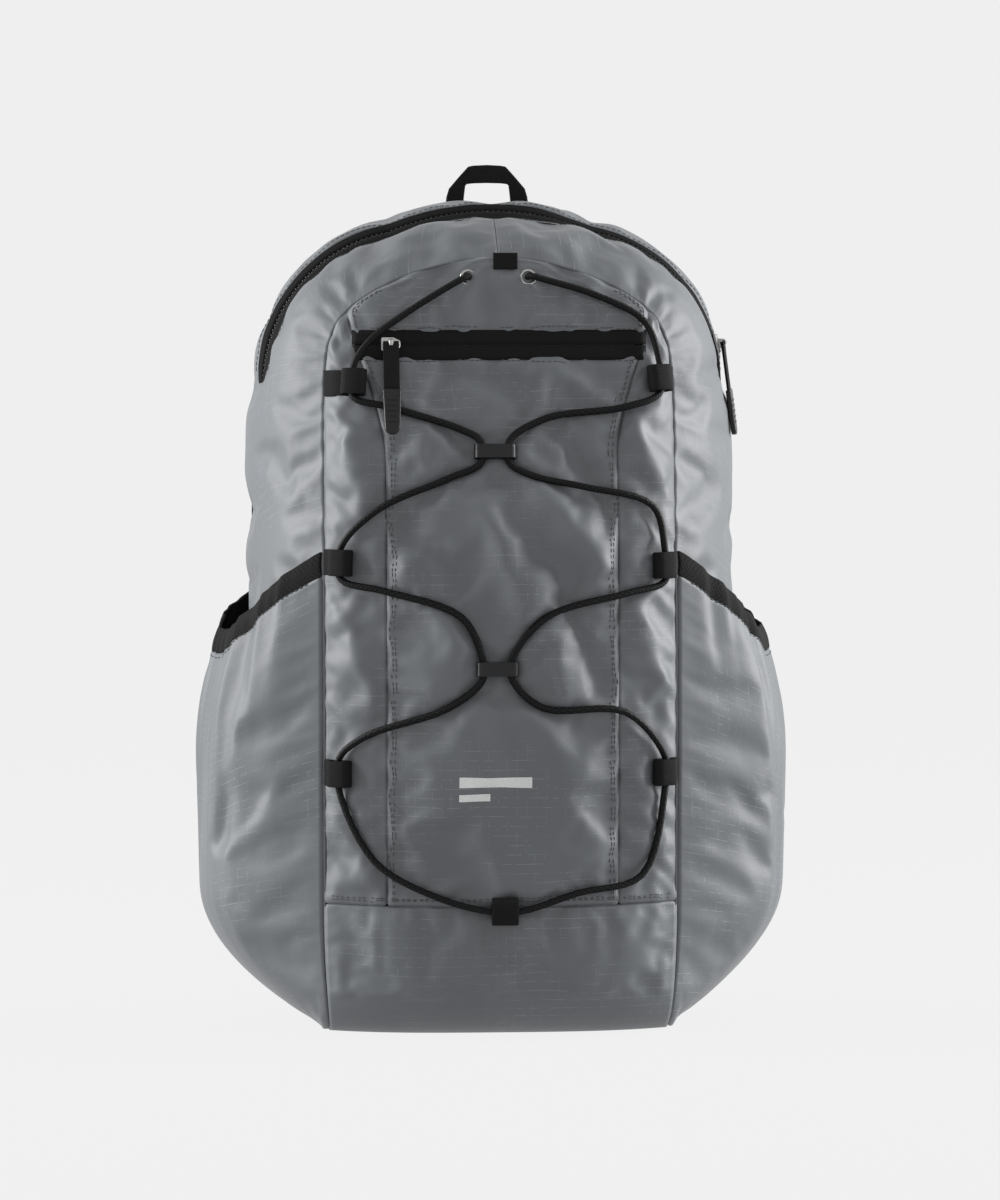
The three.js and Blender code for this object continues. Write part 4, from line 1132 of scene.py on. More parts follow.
front_surface = surface(centre_panel, yoke_cloth, strip_left, strip_right, bottom_cloth)
seam_rows = []
for side in (-1, 1):
    for gap in (2.2, 4.6):
        seam_rows.append([on_front(side * (upright_seam(z) - gap), z, 5) for z in upto(LOWER_SEAM + 3, 384)])
        seam_rows.append([on_front(side * (yoke_edge(z) - gap), z, 5) for z in upto(402, 425)])
for gap in (2.2, 4.6):
    seam_rows.append([on_front(x, LOWER_SEAM + gap, 5) for x in upto(-97, 97)])
for z in (ZIP_LOW - 2, ZIP_HIGH + 2):
    seam_rows.append([on_front(x, z, 5) for x in upto(-78, 78)])
stitched("front_seam_stitches", front_surface, seam_rows)

side_rows = []
side_surface = surface(gusset_left, gusset_right)
for side in (-1, 1):
    runs = [rim_u(i / 120) for i in range(55, 119)]
    side_rows.append([gusset_point(side, u, 0.972, 4) for u in runs])
    over = [u for u in runs if u > ZIP_START + 0.1]
    for off in (-5.4, 5.4):
        side_rows.append([
            gusset_point(side, u, zip_share(u) + off / 3.6 * slot_half(u), 3 + slot_lift(side, u, off)) for u in over
        ])
stitched("gusset_stitches", side_surface, side_rows)

hem_rows = []
for side in (-1, 1):
    shares = [between(POCKET_EDGE + 0.02, 0.945, i / 60) for i in range(61)]
    hem_rows.append([pocket_point(side, s, hem_line(s) - HEM - 1.5, 4) for s in shares])
stitched("hem_stitches", surface(*pocket_cloths), hem_rows)

# ---- Zips ----
# The front pocket's zip runs straight across under the yoke. The main zip runs from shoulder to shoulder over
# the top. Both are black coil zips with woven tapes.

zip_tape = fabric("zip_tape", (0.003, 0.003, 0.0032), (0.009, 0.009, 0.0092), 0.0008, depth=0.00015)
coil = Finish("zip_coil", roughness=0.32, specular=0.2)
coil.set("Base Color", coil.colour(coil.clouds(500, 2), (0.006, 0.006, 0.006), (0.014, 0.014, 0.015)))


def tape(name, node, point, rows, columns, size, body=PACK):
    piece = cloth_grid(name, point, rows, columns, size)
    faces_out(piece, Vector((0, 0, 0.22)))
    thicken(piece, 0.7, levels=0)
    piece.data.materials.append(zip_tape.material)
    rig.ride(piece, body)
    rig.replaces(piece, node)
    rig.slot(piece, "zip")
    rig.sheet(piece, flat=(0.0101, size[0]), area=size[0] * size[1], held="stretched", rests_on=["back_foam"])
    return piece


def coil_teeth(name, node, frames, width=2.6, pitch=1.5):
    """A row of teeth that reach in from both sides by turns, along frames of place, along and out."""
    row = []
    for i, (place, along, out) in enumerate(frames):
        across = out.cross(along)
        middle = place + across * (0.45 if i % 2 else -0.45)
        row.append((middle, along * pitch * 0.46, out * 0.55, across * width * 0.4))
    piece = beads(name, row, segments=8, rings=5)
    piece.data.materials.append(coil.material)
    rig.ride(piece, PACK)
    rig.replaces(piece, node)
    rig.slot(piece, "zip")
    return piece


POCKET_ZIP = 393


def pocket_tape(low, high):
    def point(u, v):
        return on_front(between(-84, 84, v), POCKET_ZIP + between(low, high, u), -0.5)
    return point


tape("pocket_tape_upper", "pocket_zip_tape_upper", pocket_tape(0.3, 8.5), 3, 60, (0.168, 0.0082))
tape("pocket_tape_lower", "pocket_zip_tape_lower", pocket_tape(-8.5, -0.3), 3, 60, (0.168, 0.0082))
right_hand = Vector((1, 0, 0))
coil_teeth("pocket_coil", "pocket_zip_coil", [
    (on_front(-76 + 1.5 * i, POCKET_ZIP, -1.1), right_hand, front_normal(-76 + 1.5 * i, POCKET_ZIP))
    for i in range(102)
])


def zip_line(w, off, lift):
    """A point on the main zip: w from -1 at its left end over the top to 1, off across it in millimetres."""
    u = between(4, ZIP_START + 0.03, abs(w))
    scale = BACK_Y - rim_y(front_rim.at(u)[1])
    side = -1 if w < 0 else 1
    return gusset_point(side, min(u, 3.999), zip_share(u) + off / scale, lift + slot_lift(side, u, off))


def main_tape(low, high):
    return lambda u, v: zip_line(between(-1, 1, v), between(low, high, u), -0.9)


tape("main_tape_front", "main_zip_tape_front", main_tape(-5.2, -0.3), 3, 120, (0.42, 0.0049))
tape("main_tape_rear", "main_zip_tape_rear", main_tape(0.3, 5.2), 3, 120, (0.42, 0.0049))


def evenly(point, pitch, fine=1500):
    """Frames a pitch apart along point(w) for w from -1 to 1: place, direction and outward."""
    line = [point(-1 + 2 * i / fine) for i in range(fine + 1)]
    frames, travelled = [], 0
    for i, (a, b) in enumerate(zip(line, line[1:])):
        travelled += (b - a).length
        if travelled >= pitch:
            travelled -= pitch
            frames.append((b, (b - a).normalized(), -1 + 2 * (i + 1) / fine))
    return frames


coil_teeth("main_coil", "main_zip_coil", [
    (place, along, along.cross(zip_line(w, 1, 0) - zip_line(w, -1, 0)).normalized() * -1)
    for place, along, w in evenly(lambda w: zip_line(w, 0, -1.5), 1.5)
])

# ---- Webbing and moulded parts ----
# Webbing is woven black nylon, moulded parts are black acetal, and the sliders and eyelets are nickelled.

webbing = fabric("black_webbing", (0.003, 0.003, 0.0032), (0.012, 0.012, 0.0125), 0.0013)
moulded = Finish("black_acetal", roughness=0.3, specular=0.3)
moulded.set("Base Color", moulded.colour(moulded.clouds(60, 2), (0.003, 0.003, 0.0032), (0.008, 0.008, 0.0085)))
moulded.set("Roughness", 0.26 + moulded.clouds(35, 3) * 0.14)
moulded.set("Normal", moulded.bump(moulded.clouds(900, 2), 0.00008, 0.5))
nickel = Finish("dark_nickel", roughness=0.25, metallic=1.0)
nickel.set("Base Color", nickel.colour(nickel.clouds(45, 2), (0.30, 0.30, 0.30), (0.46, 0.455, 0.44)))
nickel.set("Roughness", 0.2 + nickel.clouds(120, 2) * 0.15)


def fitted(piece, finish, body, slot, *nodes):
    """Gives a piece its finish, body and slot, and puts it in the place of the fixed model's nodes."""
    piece.data.materials.append(finish.material)
    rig.ride(piece, body)
    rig.slot(piece, slot)
    if nodes:
        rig.replaces(piece, *nodes)
    return piece


def swept(name, frames, profile, ring=False):
    """A solid that carries a closed profile of (across, out) points along frames of (place, across, out)."""
    rows, columns = len(frames) - 1, len(profile)
    solid = bmesh.new()
    bmesh.ops.create_grid(solid, x_segments=rows, y_segments=columns, size=0.5, calc_uvs=True)
    run, girth = [0], [0]
    for a, b in zip(frames, frames[1:]):
        run.append(run[-1] + (b[0] - a[0]).length * MM)
    _, wide, deep = frames[rows // 2]
    for a, b in zip(profile, profile[1:] + profile[:1]):
        girth.append(girth[-1] + math.hypot((a[0] - b[0]) * wide.length, (a[1] - b[1]) * deep.length) * MM)
    uv = solid.loops.layers.uv.verify()
    spots = {v: (round((v.co.x + 0.5) * rows), round((v.co.y + 0.5) * columns)) for v in solid.verts}
    for face in solid.faces:
        for loop in face.loops:
            i, j = spots[loop.vert]
            loop[uv].uv = (run[i], girth[j])
    for vert, (i, j) in spots.items():
        place, across, out = frames[i]
        a, b = profile[j % columns]
        vert.co = (place + across * a + out * b) * MM
    bmesh.ops.remove_doubles(solid, verts=solid.verts, dist=1e-7)
    if not ring:
        bmesh.ops.holes_fill(solid, edges=[e for e in solid.edges if e.is_boundary], sides=0)
    bmesh.ops.recalc_face_normals(solid, faces=solid.faces)
    mesh = bpy.data.meshes.new(name)
    solid.to_mesh(mesh)
    solid.free()
    mesh.shade_smooth()
    return add_object(name, mesh)


def flat_profile(width, thickness, columns=4):
    """The cross-section of a flat band with rounded edges."""
    half, r = width / 2, thickness / 2
    turn = [(math.cos(a), math.sin(a)) for a in (math.radians(d) for d in (-60, -30, 0, 30, 60))]
    right = [(half - r + r * c, r * s) for c, s in turn]
    top = [(between(half - r, r - half, i / columns), r) for i in range(columns + 1)]
    left = [(-x, -y) for x, y in right]
    return [*right, *top, *left, *[(-x, -y) for x, y in top]]


def seat(place, out, up):
    """Place, across, out and up of a fitting whose back lies on a surface and whose up points as far up as it can."""
    out = out.normalized()
    across = (-out).cross(up).normalized()
    return place, across, out, across.cross(-out)


def stadium(half, radius, turns=6):
    """Points round a flat oval: two half circles joined by straight sides."""
    ends = []
    for centre, start in ((half, -90), (-half, 90)):
        ends += [
            (centre + radius * math.cos(math.radians(start + 180 * i / turns)),
             radius * math.sin(math.radians(start + 180 * i / turns))) for i in range(turns + 1)
        ]
    return ends


def flat_loop(name, node, x, z, span, up):
    """A ring of webbing, sewn down, that the cord runs through."""
    place, across, out, rise = seat(on_front(x, z, 0.3 + 1.4 + 2.9), front_normal(x, z), up)
    oval = stadium(span / 2 - 4.3, 3.6)
    oval.append(oval[0])
    centre = [place + across * a + out * b for a, b in oval]
    frames = []
    for i, point in enumerate(centre):
        before, after = centre[i - 1 if i else -2], centre[i + 1 if i < len(centre) - 1 else 1]
        tangent = (after - before).normalized()
        frames.append((point, rise, rise.cross(tangent).normalized()))
    return fitted(swept(name, frames, flat_profile(15, 1.4), ring=True), webbing, PACK, "webbing", node)


def plate(name, outline, holes, depth, seated, bevel=0.5, segments=3):
    """A moulded flat part: an outline and holes in its own across and up, pushed out by depth and rounded."""
    place, across, out, up = seated
    solid = bmesh.new()
    edges = []
    for line in [outline, *holes]:
        verts = [solid.verts.new((place + across * a + up * b) * MM) for a, b in line]
        edges += [solid.edges.new(pair) for pair in zip(verts, verts[1:] + verts[:1])]
    bmesh.ops.triangle_fill(solid, use_beauty=True, edges=edges)
    made = bmesh.ops.extrude_face_region(solid, geom=solid.faces[:])
    moved = [v for v in made["geom"] if isinstance(v, bmesh.types.BMVert)]
    bmesh.ops.translate(solid, vec=out * depth * MM, verts=moved)
    bmesh.ops.recalc_face_normals(solid, faces=solid.faces)
    bmesh.ops.dissolve_limit(solid, angle_limit=0.01, verts=solid.verts, edges=solid.edges)
    if bevel:
        sharp = [e for e in solid.edges if len(e.link_faces) == 2 and e.calc_face_angle() > 0.9]
        bmesh.ops.bevel(
            solid, geom=sharp, offset=bevel * MM, affect="EDGES", segments=segments, profile=0.5, material=-1,
        )
    mesh = bpy.data.meshes.new(name)
    solid.to_mesh(mesh)
    solid.free()
    for polygon in mesh.polygons:
        polygon.use_smooth = False
    return add_object(name, mesh)


UP = Vector((0, 0, 1))
for node, x, z in [
    ("loop_left_upper", -82, 371), ("loop_left_middle", -89, 270), ("loop_left_lower", -90, 151),
    ("loop_right_upper", 89, 373), ("loop_right_middle", 90, 268), ("loop_right_lower", 90, 151),
]:
    flat_loop("cord_" + node, node, x, z, 15, UP)
    edge = math.copysign(front_rim.half_at(z) - 0.5, x)
    tab = [on_front(between(edge, x, i / 10), z, between(-0.4, 0.8, smooth(i, 0, 4))) for i in range(11)]
    frames = [(p, UP, front_normal(p.x, z)) for p in tab]
    fitted(swept(f"cord_{node}_root", frames, flat_profile(15, 1.2)), webbing, PACK, "webbing")
flat_loop("cord_loop_bottom", "loop_bottom", 0.5, LOWER_SEAM - 2, 16, Vector((1, 0, 0)))

# The tab on the crown seam is a short piece of webbing folded over on itself.
fold = []
tab_y = rim_y(FRONT_TOP) - 4.2
for i in range(25):
    angle = math.pi * min(1, max(0, (i - 6) / 12))
    down = max(0, 6 - i, i - 18) * 1.35
    fold.append((Vector((4, tab_y - 0.75 * math.cos(angle), 436.5 + down * 0 + 0)), down, angle))
frames = []
for i, (place, down, angle) in enumerate(fold):
    out = Vector((0, -math.cos(angle), -math.sin(angle)))
    place = Vector((4, tab_y - 0.75 * math.cos(angle), 437 - 0.75 * math.sin(angle) + down))
    frames.append((place, right_hand, out))
fitted(swept("crown_tab", frames, flat_profile(14, 1.2)), webbing, PACK, "webbing", "top_tab")

# ---- Eyelets and knots ----
# The cord passes the yoke through two nickelled eyelets and is stopped behind it by knots in its ends.


def spun(name, profile, place, out, steps=40):
    """A ring: a profile of (radius, height) turned about the line straight out of a place."""
    ring = bmesh.new()
    side = out.orthogonal().normalized()
    verts = [ring.verts.new((place + side * r + out * h) * MM) for r, h in profile]
    edges = [ring.edges.new(pair) for pair in zip(verts, verts[1:] + verts[:1])]
    bmesh.ops.spin(ring, geom=verts + edges, cent=place * MM, axis=out, angle=2 * math.pi, steps=steps)
    bmesh.ops.remove_doubles(ring, verts=ring.verts, dist=1e-6)
    bmesh.ops.recalc_face_normals(ring, faces=ring.faces)
    mesh = bpy.data.meshes.new(name)
    ring.to_mesh(mesh)
    ring.free()
    mesh.shade_smooth()
    return add_object(name, mesh)


grommet = [(3.0, 0.7), (3.15, 1.05), (3.5, 1.3), (4.0, 1.38), (4.5, 1.25), (4.9, 0.9), (5.0, 0.5), (3.6, 0.4),
           (3.6, -3.0), (4.9, -3.1), (4.9, -3.8), (3.1, -3.8), (3.0, -3.4)]
cord_knots = []
for name, x in [("left", -17), ("right", 17)]:
    out = front_normal(x, 431)
    fitted(spun(f"eyelet_ring_{name}", grommet, on_front(x, 431), out), nickel, PACK, "nickel", f"eyelet_{name}")
    place, across, outward, rise = seat(on_front(x, 431, -9.5), out, UP)
    trefoil = []
    for i in range(61):
        t = 2 * math.pi * i / 61
        a, b = math.sin(t) + 2 * math.sin(2 * t), math.cos(t) - 2 * math.cos(2 * t)
        trefoil.append(place + across * a * 1.25 + rise * b * 1.25 - outward * math.sin(3 * t) * 1.6)
    knot, _ = round_cord(f"cord_stop_knot_{name}", trefoil, 1.5, sides=8)
    cord_knots.append(fitted(knot, braid, PACK, "webbing", f"cord_knot_{name}"))

# ---- Cord guides ----
# Two glossy moulded bars draw the cord's two runs together in the middle of the front.

for node, x, z in [("cord_guide_upper", -4, 332), ("cord_guide_lower", -4, 211)]:
    place, across, out, up = seat(on_front(x, z, 3.8), front_normal(x, z), UP)
    slots = [[(at + a, b) for a, b in reversed(stadium(0.9, 2.6))] for at in (-8.3, 8.3)]
    guide = plate(node + "_moulded", stadium(8.4, 3.5, 10), slots, 8, (place - up * 4, across, up, out), bevel=0.35)
    fitted(guide, moulded, PACK, "plastic", node)

# ---- Reflective mark ----
# A plain printed bar low on the centre panel, with a short one under it.

printed = Finish("reflective_print", roughness=0.45, specular=0.4)
printed.set("Base Color", printed.colour(printed.clouds(700, 2), (0.42, 0.43, 0.43), (0.58, 0.59, 0.59)))
printed.set("Roughness", 0.4 + printed.clouds(300, 2) * 0.15)
centre_tree = surface(centre_panel)


def mark_point(u, v):
    return laid_on(centre_tree, on_front(between(-26, 15, v), between(136, 150, u), 12), 0.12)[0]


mark = cloth_grid(
    "reflective_bars", mark_point, 14, 41, (0.041, 0.014), keep=lambda u, v: u > 0.55 or (u < 0.3 and v < 0.45)
)
faces_out(mark)
fitted(mark, printed, PACK, "reflective", "reflective_bar")

# ---- Zip sliders and pulls ----
# Each slider is a nickelled body with a bail. Through the bail runs a short webbing pull with a moulded grip.


def half_circle(radius, start, steps=10):
    return [
        (radius * math.cos(math.radians(start + 180 * i / steps)), radius * math.sin(math.radians(start + 180 * i / steps)))
        for i in range(steps + 1)
    ]


def turned(seated, angle):
    """A seat turned in its own plane."""
    place, across, out, up = seated
    c, s = math.cos(angle), math.sin(angle)
    return place, across * c + up * s, out, up * c - across * s


def zip_slider(name, node, seated, body, turn=0):
    place, across, out, up = turned(seated, turn)
    shield = [(-5.5, -3.6), (-4.6, -4), (1.5, -4), (5.2, -2.2), (5.5, 0), (5.2, 2.2), (1.5, 4), (-4.6, 4), (-5.5, 3.6)]
    lower = plate(name + "_body", shield, [], 1.8, (place, across, out, up), bevel=0.45)
    fitted(lower, nickel, body, "nickel", node)
    place, across, out, up = seated
    arch = [(-3.2, 1.3), (3.2, 1.3), (2.2, 4.3), *[(a, 4.3 + b) for a, b in half_circle(2.2, 0)[1:]]]
    hole = [(a, 4.3 + b) for a, b in half_circle(1.3, 0)[:-1] + half_circle(1.3, 180)[:-1]]
    bail = plate(name + "_bail", arch, [hole], 2.4, (place - across * 1.2, up, across, out), bevel=0.3)
    fitted(bail, nickel, body, "nickel")


def zip_pull(name, nodes, seated, body, tilt):
    """The pull hangs from the bail's hole and swings out from the slider's plane by tilt."""
    place, across, out, up = seated
    hole = place + out * 4.3
    down = (-up * math.cos(tilt) + out * math.sin(tilt)).normalized()
    face = (out * math.cos(tilt) + up * math.sin(tilt)).normalized()
    frames = []
    for i in range(9):
        angle = math.radians(between(-90, 90, i / 8))
        frames.append((hole - down * 0.6 * math.cos(angle) + face * 0.62 * math.sin(angle), across, -down * math.cos(angle) + face * math.sin(angle)))
    tails = []
    for way in (-1, 1):
        for i in range(1, 12):
            drop = 28.5 * i / 11
            spread = between(0.62, 0.36, smooth(drop, 0, 7))
            tails.append((way, hole + down * drop + face * way * spread, across, face * way))
    front = [f[1:] for f in tails if f[0] == 1]
    back = [f[1:] for f in tails if f[0] == -1]
    strap = swept(name + "_webbing", [*reversed(back), *frames, *front], flat_profile(9, 0.7, 2))
    slit_half = 1.6
    fitted(strap, webbing, body, "webbing", nodes[0])
    tip = [(math.radians(a)) for a in range(180, 361, 20)]
    outline = [(5.2, -28.5), (4.6, -27.6), (-4.6, -27.6), (-5.2, -28.5), *[(4.4 * math.cos(a), -50 + 4.4 * math.sin(a)) for a in tip]]
    origin = hole - face * 1.5
    grip = plate(name + "_grip", outline, [], 3.0, (origin, across, face, -down), bevel=0.8)
    fitted(grip, moulded, body, "plastic", nodes[1])
    ribs = []
    for i in range(5):
        y = -34 - 3.2 * i
        half = between(3.4, 2.9, i / 4)
        rib = [(-half, y - 0.5), (half, y - 0.5), (half, y + 0.5), (-half, y + 0.5)]
        bar = plate(f"{name}_grip_rib_{i}", rib, [], 0.5, (hole + face * 1.4, across, face, -down), bevel=0.2, segments=2)
        fitted(bar, moulded, body, "plastic")


pocket_out = front_normal(0, POCKET_ZIP)
pocket_seat = seat(on_front(0, POCKET_ZIP, 0.3) + right_hand * -62, pocket_out, UP)
zip_slider("pocket_slider", "pocket_zip_slider", pocket_seat, "pocket_zip_slider")
zip_pull(
    "pocket_pull", ["pocket_zip_pull_strap", "pocket_zip_pull_grip"], pocket_seat, "pocket_zip_pull",
    math.radians(2.6),
)


def main_at(u, lift=0.0, share=0.0):
    return gusset_point(1, u, zip_share(u) + share, lift)


MAIN_SLIDER_U = 2.1
main_along = (main_at(MAIN_SLIDER_U + 0.05) - main_at(MAIN_SLIDER_U - 0.05)).normalized()
main_across = main_at(MAIN_SLIDER_U, share=0.02) - main_at(MAIN_SLIDER_U, share=-0.02)
main_out = main_across.cross(main_along).normalized()
if main_out.x < 0:
    main_out.negate()
main_seat = seat(main_at(MAIN_SLIDER_U) + main_out * 0.6, main_out, main_along)
zip_slider("main_slider", "main_zip_slider", main_seat, "main_zip_slider", turn=-math.pi / 2)
zip_pull(
    "main_pull", ["main_zip_pull_strap", "main_zip_pull_grip"], main_seat, "main_zip_pull", math.radians(-7),
)

# ---- Grab handle ----
# A band of webbing sewn into the back seam at both ends and folded over at its two upper corners.

root = gusset_point(1, 3.6, 0.93)
axis_z = root.z + 2.9
HANDLE = [  # outer and inner edge up the left side, each as x and height
    ((-24.5, -1.3), (-14, -1.3)), ((-23.7, 5), (-13.4, 5)), ((-22.3, 9.7), (-12.9, 9.4)),
    ((-16.6, 16.4), (-12.6, 11.6)), ((-11, 22.6), (-11.6, 12.4)), ((-8, 23.2), (-8, 12.8)), ((0, 23.6), (0, 13)),
]
pairs = HANDLE + [((-a[0], a[1]), (-b[0], b[1])) for a, b in reversed(HANDLE[:-1])]
frames = []
for (a0, b0), (a1, b1) in zip(pairs, pairs[1:]):
    for i in range(4):
        outer, inner = Vector(a0).lerp(Vector(a1), i / 4), Vector(b0).lerp(Vector(b1), i / 4)
        middle, half = (outer + inner) / 2, (outer - inner) / 2
        frames.append((Vector((middle.x, root.y, axis_z + middle.y)), Vector((half.x, 0, half.y)), Vector((0, -1.2, 0))))
frames.append((Vector((19.25, root.y, axis_z - 1.3)), Vector((5.25, 0, 0)), Vector((0, -1.2, 0))))
band = [(math.copysign(abs(math.cos(a)) ** 0.3, math.cos(a)), math.copysign(abs(math.sin(a)) ** 0.4, math.sin(a)))
        for a in (2 * math.pi * i / 24 for i in range(24))]
fitted(swept("handle_webbing", frames, band), webbing, "grab_handle", "webbing", "grab_handle")

# ---- Padded back ----
# A foam panel under air mesh, quilted in three upright ribs, with a lining inside. The back seam is bound
# with a round piping.

air_mesh = Finish("air_mesh", roughness=0.85, specular=0.08)
across, up = air_mesh.uv()
cells = (across * (2 * math.pi / 0.0026)).wave() * (up * (2 * math.pi / 0.0034) + (across * (math.pi / 0.0026)).wave() * 3).wave()
hole = cells.step(0.35, 0.75)
air_mesh.set("Base Color", air_mesh.colour(hole, (0.028, 0.029, 0.031), (0.003, 0.003, 0.0035)))
air_mesh.set("Normal", air_mesh.bump(hole * -1, 0.0006, 0.8))
foam = Finish("foam", roughness=0.9, specular=0.15)
foam.set("Base Color", foam.colour(foam.clouds(1200, 3), (0.05, 0.05, 0.052), (0.1, 0.1, 0.102)))
foam.set("Normal", foam.bump(foam.clouds(900, 3), 0.0004, 0.5))


def back_y(x, z):
    across = 1 - min(1, abs(x) / back_rim.half_at(z)) ** 8
    return BACK_Y + 5 * across * smooth(BACK_TOP - z, 0, 24) * smooth(z, 0, 24)


def quilting(x, z):
    """Depth of the grooves between the back's ribs."""
    half = back_rim.half_at(z)
    upright = min(abs(abs(x) - 30), abs(abs(x) - (half - 16)))
    cross = min(abs(z - level) for level in (70, 165, 260, 355))
    ends = smooth(z, 25, 50) * smooth(BACK_TOP - z, 20, 45)
    return 2.4 * math.exp(-((upright / 3.2) ** 2)) * ends + 1.5 * math.exp(-((cross / 3) ** 2)) * smooth(abs(x), 28, 34) * ends


def back_sheet(depth, inset, groove):
    def point(u, v):
        z = between(2.5, BACK_TOP - 1.5, u)
        half = back_rim.half_at(z) - inset
        x = between(-half, half, v)
        return Vector((x, back_y(x, z) - depth - quilting(x, z) * groove, z))
    return point


mesh_cloth = cloth_grid("back_air_mesh", back_sheet(0, 0.6, 1), 150, 90, (0.27, 0.462))
faces_out(mesh_cloth)
thicken(mesh_cloth, 1.6, levels=0)
fitted(mesh_cloth, air_mesh, PACK, "air_mesh", "back_mesh")
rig.sheet(mesh_cloth, flat=(0.272, 0.464), held="stretched", rests_on=["back_foam_panel"])
slab = cloth_grid("back_foam_panel", back_sheet(2.2, 3.8, 0.8), 60, 36, (0.27, 0.462))
faces_out(slab)
thicken(slab, 7.5, levels=0)
fitted(slab, foam, PACK, "foam", "back_foam")
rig.padded(slab, fill=0.9)
lining = cloth_grid("back_lining_cloth", back_sheet(10.8, 3.8, 0), 40, 24, (0.27, 0.462))
faces_out(lining)
thicken(lining, 0.4, levels=0)
fitted(lining, grey_ripstop, PACK, "ripstop", "back_lining")
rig.sheet(lining, flat=(0.265, 0.46), held="stretched", rests_on=["back_foam_panel"])


def pocket_wall(u, v):
    z = between(LOWER_SEAM + 4, ZIP_HIGH - 1, u)
    half = front_rim.half_at(z) - 3.5
    x = between(-half, half, v)
    apart = smooth(z, 80, 140) * (1 - smooth(z, 339, 399))
    return Vector((x, between(front_y(x, z) + 4, rim_y(z) + 3, apart) + noise.noise(Vector((x, z, 0)) * 0.04), z))


wall = cloth_grid("pocket_wall_cloth", pocket_wall, 40, 26, (0.195, 0.32))
faces_out(wall)
thicken(wall, 0.4, levels=0)
fitted(wall, grey_ripstop, PACK, "ripstop", "pocket_inner_wall")
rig.sheet(wall, flat=(0.2, 0.33), held="stretched", rests_on=["back_foam_panel"])

rim_line = [(side, i / 110) for side in (-1, 1) for i in range(111)]
left_run = [(-back_rim.at(rim_u(i / 110))[0], back_rim.at(rim_u(i / 110))[1]) for i in range(111)]
right_run = [(-x, z) for x, z in reversed(left_run)]
piping_line = [Vector((x, BACK_Y + 0.4, max(2.2, z))) for x, z in [*left_run, *right_run[1:]]]
piping, _ = round_cord("back_seam_piping", piping_line, 1.7)
fitted(piping, webbing, PACK, "webbing")

# ---- Shoulder straps ----
# Each strap is a curved foam pad covered in air mesh, bound at its edge, with webbing sewn down its middle. Its
# lower end holds a ladder-lock, through which the adjusting webbing runs up from an anchor at the pack's foot.

STRAP_Y = 76


class Curve:
    """A smooth line through points, read by the share of its length."""

    def __init__(self, points, steps=16):
        self.line = rounded_line(points, steps)
        self.run = [0]
        for a, b in zip(self.line, self.line[1:]):
            self.run.append(self.run[-1] + (b - a).length)

    def at(self, share):
        want = min(1, max(0, share)) * self.run[-1]
        i = next((k for k, r in enumerate(self.run[1:]) if r >= want), len(self.run) - 2)
        return self.line[i].lerp(self.line[i + 1], (want - self.run[i]) / (self.run[i + 1] - self.run[i]))

    def frame(self, share):
        """Place, across and out, out being away from the pack."""
        along = (self.at(share + 0.01) - self.at(share - 0.01)).normalized()
        out = along.cross(right_hand).normalized()
        if out.y < 0:
            out.negate()
        return self.at(share), along.cross(out).normalized(), out


def pad_half(t):
    return between(33, 24, smooth(t, 0.3, 1)) - 5 * smooth(t, 0.93, 1)


